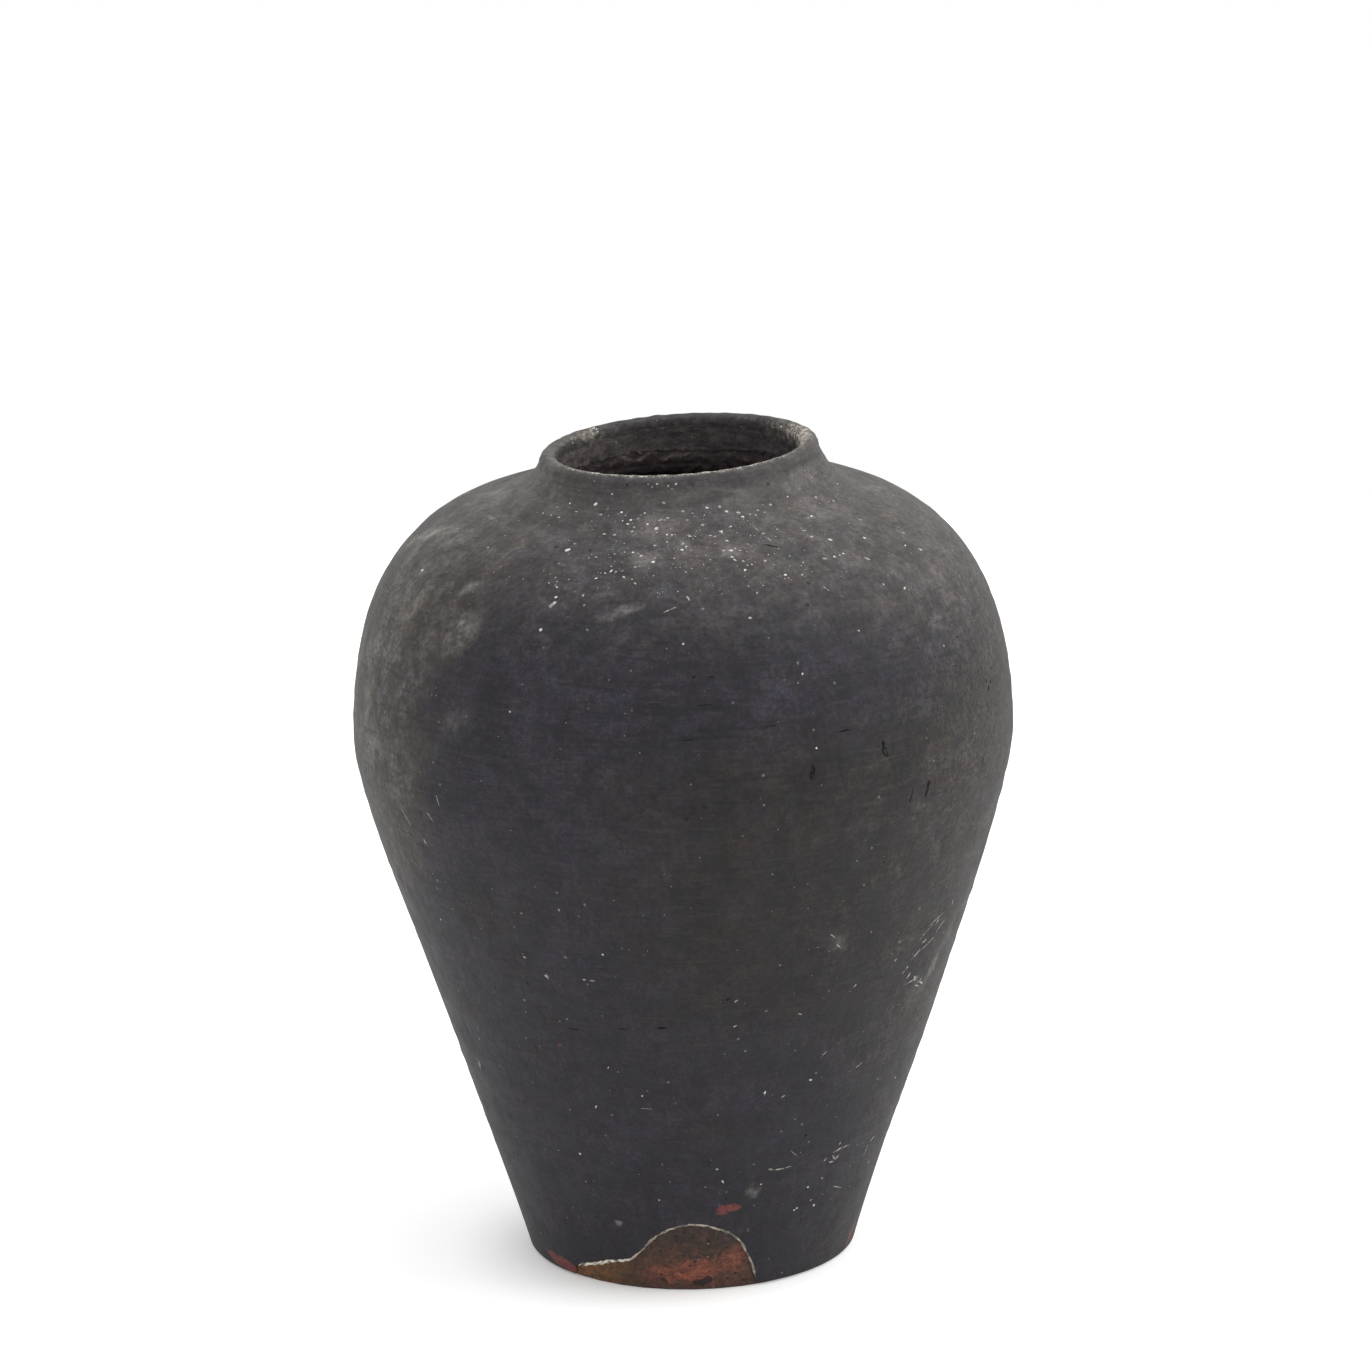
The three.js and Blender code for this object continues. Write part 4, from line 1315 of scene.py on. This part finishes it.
# Larger grains: pixel, half length and half width in pixels, lean in degrees
namedGrains = [
    (596, 504, 3.2, 2.4, 60), (602, 516, 2.2, 2.0, 0), (578, 513, 1.6, 1.5, 0), (570, 503, 1.7, 1.5, 0),
    (546, 517, 2.0, 1.6, 0), (554, 519, 1.4, 1.2, 0), (561, 521, 2.6, 1.2, -10),
    (605, 537, 2.2, 1.6, 0), (615, 538, 2.3, 1.9, 90), (622, 513, 2.0, 1.6, 0),
    (624, 524, 1.8, 1.2, 80), (629, 528, 2.0, 1.8, 0), (632, 523, 2.2, 2.0, 0), (635, 531, 2.0, 1.7, 0),
    (639, 521, 2.0, 1.8, 0), (633, 535, 1.8, 1.4, 20), (645, 514, 1.8, 1.4, 0), (648, 528, 1.9, 1.7, 0),
    (657, 532, 3.0, 2.3, 35), (661, 523, 3.0, 2.3, 30), (665, 523, 2.0, 1.5, 0),
    (668, 520, 2.6, 2.1, 10), (664, 503, 2.2, 2.0, 0), (667, 538, 1.8, 1.6, 0), (672, 538, 1.8, 1.6, 0),
    (667, 544, 2.0, 1.8, 0), (683, 512, 2.2, 2.0, 90), (687, 523, 2.0, 1.5, 0), (655, 547, 2.6, 2.1, 0),
    (633, 553, 2.2, 1.7, 20), (690, 539, 2.8, 1.8, -5), (695, 539, 2.6, 1.1, -30),
    (683, 545, 3.2, 2.2, 60), (686, 548, 2.6, 1.8, 40), (682, 551, 2.4, 1.6, 0),
    (702, 528, 2.4, 2.0, 0), (707, 508, 2.2, 1.4, -20), (720, 507, 2.4, 2.0, 0),
    (726, 512, 2.3, 2.1, 0), (738, 514, 3.0, 2.5, 0), (742, 519, 2.2, 1.5, 0), (749, 516, 2.0, 1.6, 0),
    (755, 517, 2.0, 1.4, -40), (757, 511, 2.2, 1.8, 90), (770, 505, 2.3, 2.0, 0),
    (721, 534, 2.2, 2.0, 0), (730, 529, 3.6, 1.5, 35), (710, 538, 2.4, 1.7, 0), (714, 539, 2.0, 1.8, 0),
    (726, 542, 2.2, 2.0, 0), (724, 551, 2.6, 1.6, 10), (731, 551, 2.6, 2.0, 0),
    (732, 557, 2.6, 1.6, -50), (735, 560, 3.0, 1.2, -60), (740, 551, 2.0, 1.1, 0),
    (743, 561, 2.3, 1.8, 70), (765, 561, 1.8, 1.6, 0), (763, 535, 3.2, 2.0, -25),
    (745, 570, 2.0, 1.8, 0), (757, 593, 1.8, 1.5, 0), (688, 598, 4.0, 1.5, -58),
    (624, 577, 2.2, 2.0, 0), (632, 579, 1.8, 1.4, 0), (635, 583, 2.2, 1.2, -35),
    (653, 562, 2.2, 1.8, 0), (635, 567, 2.0, 1.4, 0), (641, 556, 2.2, 1.2, 30),
    (655, 558, 2.2, 1.3, -30), (568, 550, 3.8, 2.6, 38), (575, 545, 2.2, 1.5, 30),
    (596, 557, 2.0, 1.7, 0), (611, 571, 2.6, 1.3, 60), (596, 578, 2.2, 1.4, 30),
    (605, 573, 1.6, 1.4, 0), (552, 605, 5.2, 2.6, 52), (556, 597, 2.2, 1.8, 40),
    (557, 587, 1.4, 1.2, 0), (541, 630, 2.2, 2.0, 0), (584, 605, 1.5, 1.3, 0), (583, 595, 2.4, 1.0, 80),
    (422, 570, 2.4, 1.8, 60), (488, 547, 1.6, 1.4, 0), (510, 712, 1.6, 1.4, 0), (683, 644, 1.6, 1.4, 0),
    (811, 517, 2.6, 2.0, 20), (815, 498, 2.4, 1.9, 0), (833, 501, 2.6, 1.4, -60),
    (811, 537, 2.8, 1.8, -10), (804, 531, 3.0, 1.0, -20), (830, 540, 2.8, 1.9, -30),
    (860, 520, 2.4, 1.8, -40), (864, 538, 2.4, 1.9, 0), (903, 533, 3.0, 1.4, -40),
    (905, 546, 2.0, 1.4, 0), (920, 550, 2.4, 1.4, -40), (825, 559, 3.0, 1.6, -20),
    (834, 557, 2.2, 1.7, 0), (843, 554, 1.6, 1.4, 0), (867, 559, 4.6, 1.2, -40),
    (802, 575, 2.0, 1.7, 0), (785, 575, 2.0, 1.7, 0), (883, 585, 1.8, 1.6, 0), (904, 589, 2.6, 1.6, 20),
    (750, 618, 2.2, 1.8, 0), (858, 631, 1.6, 1.4, 0), (943, 646, 1.8, 1.6, 0), (802, 674, 1.8, 1.6, 0),
    (816, 748, 2.0, 1.3, 0), (546, 977, 4.0, 2.0, -35), (524, 958, 2.2, 1.4, -30),
    (584, 980, 2.4, 1.6, 0), (592, 981, 4.0, 0.8, 0), (559, 910, 2.2, 1.4, 60), (440, 920, 1.8, 1.5, 0),
    (603, 955, 1.6, 1.4, 0), (642, 1096, 1.5, 1.4, 0), (596, 1107, 2.4, 1.1, 70),
    (580, 1154, 2.0, 1.5, 60), (765, 1092, 2.8, 1.6, 70), (810, 1080, 2.4, 1.9, 0),
    (783, 1096, 3.2, 1.4, 40), (894, 1077, 2.2, 1.4, 40), (717, 1169, 2.0, 1.8, 0),
    (723, 1182, 2.6, 1.4, -60), (808, 1187, 2.4, 2.0, 0), (822, 1178, 2.0, 1.4, -30),
    (794, 1210, 2.2, 1.2, 30), (797, 1208, 1.8, 1.2, 30), (814, 1205, 2.2, 1.6, 80),
    (811, 1200, 1.8, 1.2, 40), (761, 1184, 2.0, 1.2, 40), (659, 1200, 1.5, 1.4, 0),
    (648, 484, 1.3, 1.2, 0), (652, 487, 1.2, 1.0, 0), (657, 484, 1.5, 1.3, 0), (668, 486, 1.5, 1.2, 0),
    (676, 484, 1.6, 1.4, 0), (672, 489, 1.1, 1.0, 0), (612, 494, 1.6, 1.4, 60), (594, 481, 1.3, 1.1, 0),
    (812, 477, 1.6, 1.2, 60), (837, 484, 1.8, 1.4, 0), (788, 496, 1.6, 1.2, 60),
    (805, 470, 1.2, 1.0, 0), (736, 1001, 3.0, 1.0, 38), (800, 1014, 3.0, 1.0, -20),
    (735, 1026, 2.4, 0.9, 30), (608, 1068, 2.2, 0.8, 70),
]

# Pale scratches: the pixels of their two ends, and half width in pixels
paleScratches = [
    (946, 917, 936, 933, 1.0), (937, 934, 920, 951, 0.8), (945, 929, 943, 934, 1.1),
    (938, 953, 934, 963, 0.9), (934, 963, 928, 970, 0.7), (953, 899, 952, 905, 1.0),
    (912, 971, 906, 980, 1.5), (917, 983, 922, 977, 1.8), (914, 985, 920, 986, 1.2),
    (919, 981, 923, 984, 1.4), (857, 984, 853, 989, 1.3), (901, 941, 899, 944, 1.3),
    (897, 958, 895, 962, 1.0), (908, 966, 907, 968, 1.4), (849, 1144, 841, 1148, 1.1),
    (842, 1147, 833, 1152, 1.7), (839, 1154, 834, 1160, 1.7), (832, 1155, 835, 1160, 1.6),
    (834, 1161, 828, 1162, 1.2), (827, 1157, 823, 1162, 1.5), (840, 1141, 838, 1145, 1.2),
    (874, 1135, 869, 1142, 1.2), (869, 1142, 864, 1152, 1.0), (768, 1169, 774, 1170, 1.3),
    (774, 1170, 786, 1168, 1.3), (785, 1168, 791, 1166, 0.8), (832, 1186, 842, 1188, 1.0),
    (869, 1160, 867, 1164, 1.0), (474, 1057, 477, 1063, 1.4), (476, 1062, 480, 1071, 1.7),
    (764, 536, 772, 543, 0.8), (752, 527, 760, 534, 0.7), (545, 972, 548, 980, 1.1),
    (662, 613, 676, 607, 0.7), (822, 586, 830, 592, 0.7), (400, 805, 414, 829, 0.9),
    (947, 909, 926, 928, 0.8), (934, 922, 918, 943, 0.7), (921, 948, 911, 961, 1.2),
    (911, 964, 900, 977, 0.9), (921, 974, 905, 985, 1.1), (914, 976, 916, 981, 2.4),
    (928, 938, 922, 944, 1.6), (939, 918, 935, 925, 1.4), (476, 1059, 480, 1069, 1.6),
    (424, 838, 427, 846, 1.0), (436, 795, 440, 806, 0.8), (428, 812, 434, 822, 0.9),
    (830, 934, 838, 940, 0.7), (836, 944, 842, 949, 0.8), (866, 1150, 862, 1158, 0.8),
    (790, 1150, 797, 1156, 0.6), (700, 1060, 712, 1061, 0.5), (640, 1108, 652, 1109, 0.5),
    (855, 1068, 862, 1062, 0.8), (820, 1058, 828, 1050, 0.6),
]


domeShape = {
    "ragged": 0.38,
    "sink": 0.00008,         # of the rim
    "ringShare": 0.72,       # size and height of the ring above it
    "ringHeight": 0.7,
    "mostLean": 1.5,
}


# Low domes with ragged rims: a rim ring sunk in the coat, a shoulder ring above it and a crown point
def domeGrid(angle, along, halfLength, halfWidth, lean, height, sides, seed):
    draw = np.random.default_rng(seed)
    count = len(angle)
    turn = np.linspace(0, 2 * np.pi, sides, endpoint=False)[None, :]
    ragged = 1 + domeShape["ragged"] * draw.uniform(-1, 1, (count, sides))
    u = np.cos(turn) * halfLength[:, None] * ragged
    v = np.sin(turn) * halfWidth[:, None] * ragged
    c, s = np.cos(lean)[:, None], np.sin(lean)[:, None]
    across, climb = u * c - v * s, u * s + v * c
    radius = radiusAt(along)[:, None]

    def ring(share, lift):
        place, at = angle[:, None] + share * across / radius, along[:, None] + share * climb
        return onLine(place, at, coatRelief(place, at) + lift)[0]

    crown = onLine(angle, along, coatRelief(angle, along) + height)[0][:, None, :]
    rim = ring(1.0, -domeShape["sink"])
    upper = ring(domeShape["ringShare"], domeShape["ringHeight"] * height[:, None])
    points = np.concatenate([rim, upper, crown], 1)
    base = (np.arange(count) * (2 * sides + 1))[:, None]
    i, j = np.arange(sides)[None, :], (np.arange(sides)[None, :] + 1) % sides
    quads = np.stack([base + i, base + j, base + sides + j, base + sides + i], -1).reshape(-1, 4)
    fans = np.stack([base + sides + i, base + sides + j, base + 2 * sides + 0 * i], -1).reshape(-1, 3)
    floors = (base + sides - 1 - i).tolist()
    return points.reshape(-1, 3), quads.tolist() + fans.tolist() + floors


# One piece of domes from their places and sizes, in one material
def domePiece(name, marks, rise, sides, seed, material):
    points, faces = domeGrid(*marks, rise, sides, seed)
    piece = facePiece(name, points, faces)
    piece.data.materials.append(material)
    return piece


# Seeded marks followed by those of a table: angle, along, half length, half width, lean
def withNamed(seeded, table, pixelSize):
    rows = np.array(table, float)
    angle, along = onCoat(rows[:, :2])
    named = (angle, along, rows[:, 2] * pixelSize, rows[:, 3] * pixelSize, np.radians(rows[:, 4]))
    return [np.concatenate(pair) for pair in zip(seeded, named)]


# Height of domes, as far as the widest radius leaves room
def domeRise(angle, along, height):
    return np.clip(roomOutside(along) - coatRelief(angle, along), 0, height)


# Sizes between two ends, most of them small
def smallSizes(draw, ends, count):
    return ends[0] + (ends[1] - ends[0]) * draw.uniform(0, 1, count) ** 2


def makeGritGrains(material):
    c = gritGrains
    draw = np.random.default_rng(c["seed"])
    count, others = c["shoulderCount"], c["bodyCount"]
    angle = np.radians(draw.normal(2, c["shoulderSpread"], count))
    along = draw.uniform(alongAtHeight(c["shoulderFrom"]), alongAtHeight(c["shoulderTo"]), count)
    size = smallSizes(draw, c["shoulderSize"], count)
    allAngle = draw.uniform(-np.pi, np.pi, others)
    allAlong = draw.uniform(alongAtHeight(c["bodyFrom"]), alongAtHeight(c["bodyTo"]), others)
    allSize = draw.uniform(*c["bodySize"], others)
    lipAngle = [np.radians(draw.normal(middle, spread, n)) for middle, spread, _, _, n, _ in lipChips]
    lipAlong = [lipTop + draw.uniform(first, last, n) for _, _, first, last, n, _ in lipChips]
    lipSize = [scale * draw.uniform(*c["chipSize"], n) for *_, n, scale in lipChips]
    angle = np.concatenate([angle, allAngle, *lipAngle])
    along = np.concatenate([along, allAlong, *lipAlong])
    size = np.concatenate([size, allSize, *lipSize])
    width = size * draw.uniform(*c["stretch"], len(size))
    lean = draw.uniform(-domeShape["mostLean"], domeShape["mostLean"], len(size))
    marks = withNamed((angle, along, size, width, lean), namedGrains, c["pixelSize"])
    rise = domeRise(marks[0], marks[1], c["height"])
    piece = domePiece("grit_grains", marks, rise, c["sides"], c["seed"] + 1, material)
    print("grit grains:", len(rise))
    return piece


scratchForm = {"height": 0.00004, "sides": 14, "seed": 81}


def makeScratches(material):
    c = scratchForm
    ends = np.array(paleScratches, float)
    first, last = onCoat(ends[:, :2]), onCoat(ends[:, 2:4])
    angle, along = (first[0] + last[0]) / 2, (first[1] + last[1]) / 2
    across = (last[0] - first[0]) * radiusAt(along)
    climb = last[1] - first[1]
    halfWidth = ends[:, 4] * gritGrains["pixelSize"]
    marks = (angle, along, np.hypot(across, climb) / 2, halfWidth, np.arctan2(climb, across))
    rise = np.full(len(angle), c["height"])
    piece = domePiece("pale_scratches", marks, rise, c["sides"], c["seed"], material)
    print("pale scratches:", len(angle))
    return piece


# pits and gouges in the coat, as low domes coloured dark

coatPits = {
    "count": 240,            # seeded all over
    "from": 0.04,            # heights that they lie between
    "to": 0.285,
    "size": (0.00010, 0.00030),
    "stretch": (0.4, 0.9),
    "seed": 91,
    "sides": 10,
    "height": 0.00003,
    "pixelSize": 0.00042,    # metres for one pixel of a pit's stated size
}

# Larger pits: pixel, half length and half width in pixels, lean in degrees
namedPits = [
    (988, 688, 3.2, 2.2, 60), (990, 682, 2.0, 1.2, 30), (986, 680, 1.8, 1.0, 80),
    (991, 668, 1.8, 1.4, 0), (922, 675, 3.0, 1.3, 75), (863, 689, 5.0, 1.0, 6),
    (573, 1030, 5.0, 1.0, 0), (622, 1029, 7.0, 0.8, 2), (662, 1028, 5.0, 1.0, 0),
    (770, 546, 8.5, 1.5, -33), (883, 748, 8.5, 2.8, -72), (928, 786, 9.0, 2.0, 70),
    (812, 772, 8.5, 2.5, 87), (983, 761, 5.0, 1.5, 80), (706, 705, 9.0, 0.8, 2),
    (842, 731, 9.0, 0.7, 3), (711, 677, 3.4, 0.9, 0), (694, 677, 2.4, 0.8, 0), (811, 648, 2.0, 1.1, 0),
    (806, 645, 1.4, 0.9, 0), (957, 637, 1.7, 1.3, 0), (912, 794, 7.0, 1.2, 66),
    (728, 999, 2.6, 1.3, 30), (567, 1014, 2.0, 1.0, 0), (806, 1135, 1.8, 1.4, 0),
    (655, 704, 8.0, 0.6, 0), (770, 726, 9.0, 0.6, 3), (690, 740, 10.0, 0.6, 2),
]


def makeCoatPits(material):
    c = coatPits
    draw = np.random.default_rng(c["seed"])
    count = c["count"]
    size = smallSizes(draw, c["size"], count)
    angle = draw.uniform(-np.pi, np.pi, count)
    along = draw.uniform(alongAtHeight(c["from"]), alongAtHeight(c["to"]), count)
    width = size * draw.uniform(*c["stretch"], count)
    lean = draw.uniform(-domeShape["mostLean"], domeShape["mostLean"], count)
    marks = withNamed((angle, along, size, width, lean), namedPits, c["pixelSize"])
    rise = domeRise(marks[0], marks[1], c["height"])
    piece = domePiece("coat_pits", marks, rise, c["sides"], c["seed"] + 1, material)
    print("coat pits:", len(rise))
    return piece


# Two colours mottled by one noise, which is the relief too
def makeMottledFinish(name, f):
    material, tree, shader, coords = newFinish(name, f["roughness"], f["specular"])
    mottle = noise(tree, coords, *f["noise"])
    colour = mixed(tree, ramp(tree, mottle, *f["span"]), f["first"], f["second"])
    tree.links.new(colour, shader.inputs["Base Color"])
    if f["bump"]:
        bumpOn(tree, shader, mottle, f["bump"])
    return material


pitFinish = {
    "first": shade(22, 20, 20),
    "second": shade(42, 39, 39),
    "noise": (700.0, 2.0),
    "span": (0.42, 0.62),
    "bump": 0.0001,
    "roughness": 0.85,
    "specular": 0.1,
}

gritFinish = {
    "pale": shade(222, 217, 213),
    "tan": shade(152, 145, 141),
    "each": (260.0, 1.0),    # noise that sets one grain apart from the next, and noise within a grain
    "fine": (1800.0, 2.0),
    "eachSpan": (0.34, 0.58),
    "fineSpan": (0.45, 0.70, 0.0, 0.5),
    "bump": 0.0001,
    "roughness": 0.8,
    "specular": 0.2,
}


def makeGritFinish():
    f = gritFinish
    material, tree, shader, coords = newFinish("paleGrit", f["roughness"], f["specular"])
    each = noise(tree, coords, *f["each"])
    fine = noise(tree, coords, *f["fine"])
    colour = mixed(tree, ramp(tree, each, *f["eachSpan"]), f["pale"], f["tan"])
    colour = mixed(tree, ramp(tree, fine, *f["fineSpan"]), colour, f["tan"])
    tree.links.new(colour, shader.inputs["Base Color"])
    bumpOn(tree, shader, fine, f["bump"])
    return material


scratchFinish = {
    "first": shade(176, 173, 167),
    "second": shade(106, 104, 100),
    "noise": (900.0, 2.0),
    "span": (0.36, 0.62),
    "bump": 0,
    "roughness": 0.75,
    "specular": 0.25,
}

# joining slip, unseen between the sections
slipFinish = {
    "first": shade(150, 120, 92),
    "second": shade(112, 80, 58),
    "noise": (240.0, 3.0),
    "span": (0.4, 0.65),
    "bump": 0.0003,
    "roughness": 0.85,
    "specular": 0.2,
}


def finishSolid(node, material):
    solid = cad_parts[node]
    solid.data.materials.clear()
    solid.data.materials.append(material)


# floor, light and camera

studio = {
    "floorHalf": 1.1,
    "floorColour": (0.80, 0.80, 0.795, 1),
    # painted shadow: the white glow is weaker near the foot, so the floor is darker round it, centred a
    # little to the left and front of the axis
    "floorLift": (0.10, 0.46),      # white added for the camera alone, near the foot and far from it
    "paintedShadowReach": (0.022, 0.080),
    "paintedShadowCentre": (-0.014, -0.010, 0),
    "worldLight": 0.88,
    "topPower": 15.0,
    "topSize": 1.9,
    "topPlace": (0.58, 0.12, 1.95),
    "topAim": (0, 0, 0.15),
    "leftPower": 0.8,
    "leftPlace": (-1.6, -0.4, 0.9),
    "rightPower": 10.0,
    "rightPlace": (1.6, -0.2, 0.9),
    "sideSize": 1.2,
    "sideAim": (0, 0, 0.2),
}


def makeFloor():
    half = studio["floorHalf"]
    u = np.linspace(-half, half, 3)
    x, y = np.meshgrid(u, u)
    points = np.stack([x, y, 0 * x], -1).reshape(-1, 3)
    faces = [(0, 1, 4, 3), (1, 2, 5, 4), (3, 4, 7, 6), (4, 5, 8, 7)]
    mesh = bpy.data.meshes.new("studio_floor")
    mesh.from_pydata(points, [], faces)
    floor = bpy.data.objects.new("studio_floor", mesh)
    bpy.context.scene.collection.objects.link(floor)
    material = bpy.data.materials.new("whiteFloor")
    material.use_nodes = True
    tree = material.node_tree
    tree.nodes.clear()
    diffuse = put(tree, "BsdfDiffuse", None, Color=studio["floorColour"])
    far = put(tree, "VectorMath", {"operation": "DISTANCE"})
    tree.links.new(put(tree, "TexCoord").outputs["Object"], far.inputs[0])
    far.inputs[1].default_value = studio["paintedShadowCentre"]
    # painted shadow round the foot: less glow near it than far from it
    lift = ramp(tree, far.outputs["Value"], *studio["paintedShadowReach"], *studio["floorLift"])
    glow = put(tree, "Emission", None, Strength=lift)
    both = tree.nodes.new("ShaderNodeAddShader")
    tree.links.new(diffuse.outputs[0], both.inputs[0])
    tree.links.new(glow.outputs[0], both.inputs[1])
    mix = tree.nodes.new("ShaderNodeMixShader")
    tree.links.new(seenDirectly(tree), mix.inputs[0])
    tree.links.new(diffuse.outputs[0], mix.inputs[1])
    tree.links.new(both.outputs[0], mix.inputs[2])
    output = tree.nodes.new("ShaderNodeOutputMaterial")
    tree.links.new(mix.outputs[0], output.inputs[0])
    mesh.materials.append(material)


# One for camera, glossy and transmitted rays, so that gloss shows the same white as the camera
def seenDirectly(tree):
    path = put(tree, "LightPath")
    seen = most(tree, path.outputs["Is Camera Ray"], path.outputs["Is Glossy Ray"])
    return most(tree, seen, path.outputs["Is Transmission Ray"])


def makeWorld():
    world = bpy.data.worlds.new("whiteStudio")
    bpy.context.scene.world = world
    world.use_nodes = True
    tree = world.node_tree
    background = tree.nodes["Background"]
    background.inputs["Color"].default_value = (1, 1, 1, 1)
    light = studio["worldLight"]
    strength = timesPlus(tree, seenDirectly(tree), 1 - light, light)
    tree.links.new(strength, background.inputs["Strength"])


def addSoftbox(name, place, aim, size, power):
    lamp = bpy.data.lights.new(name, "AREA")
    lamp.size = size
    lamp.energy = power
    box = bpy.data.objects.new(name, lamp)
    box.location = place
    box.rotation_euler = (Vector(aim) - Vector(place)).to_track_quat("-Z", "Y").to_euler()
    bpy.context.scene.collection.objects.link(box)


def placeCamera():
    c = photoCamera
    rise = math.radians(c["elevation"])
    back = Vector((0, -math.cos(rise), math.sin(rise)))
    camera = bpy.data.objects.new("photo_camera", bpy.data.cameras.new("photo_camera"))
    camera.data.sensor_width = c["sensor"]
    camera.data.lens = c["sensor"] * c["focalPixels"] / c["pictureWidth"]
    camera.location = Vector(c["aim"]) + back * c["distance"]
    lean = Matrix.Rotation(-math.radians(c["roll"]), 3, "Z")
    camera.rotation_euler = ((-back).to_track_quat("-Z", "Y").to_matrix() @ lean).to_euler()
    bpy.context.scene.collection.objects.link(camera)
    bpy.context.scene.camera = camera


placeCamera()
makeFloor()
makeWorld()
addSoftbox("top_softbox", studio["topPlace"], studio["topAim"], studio["topSize"], studio["topPower"])
for side in ("left", "right"):
    place, power = studio[side + "Place"], studio[side + "Power"]
    addSoftbox(side + "_softbox", place, studio["sideAim"], studio["sideSize"], power)
print("camera, floor and light placed")

clay = makeClayFinish()
slip = makeMottledFinish("joiningSlip", slipFinish)
grit = makeGritFinish()
makeCoat(makeCoatFinish())
makeLining(makeLiningFinish())
makeBareClay(clay)
makeCoatBead(makeBeadFinish())
makeGritGrains(grit)
makeScratches(makeMottledFinish("paleScratch", scratchFinish))
makeCoatPits(makeMottledFinish("darkPit", pitFinish))
for section in ("floor_disc", "lower_wall", "shoulder", "lip_ring"):
    finishSolid(section, clay)
for seam in ("foot_luting", "belly_luting", "lip_luting"):
    finishSolid(seam, slip)
print("all pieces finished")
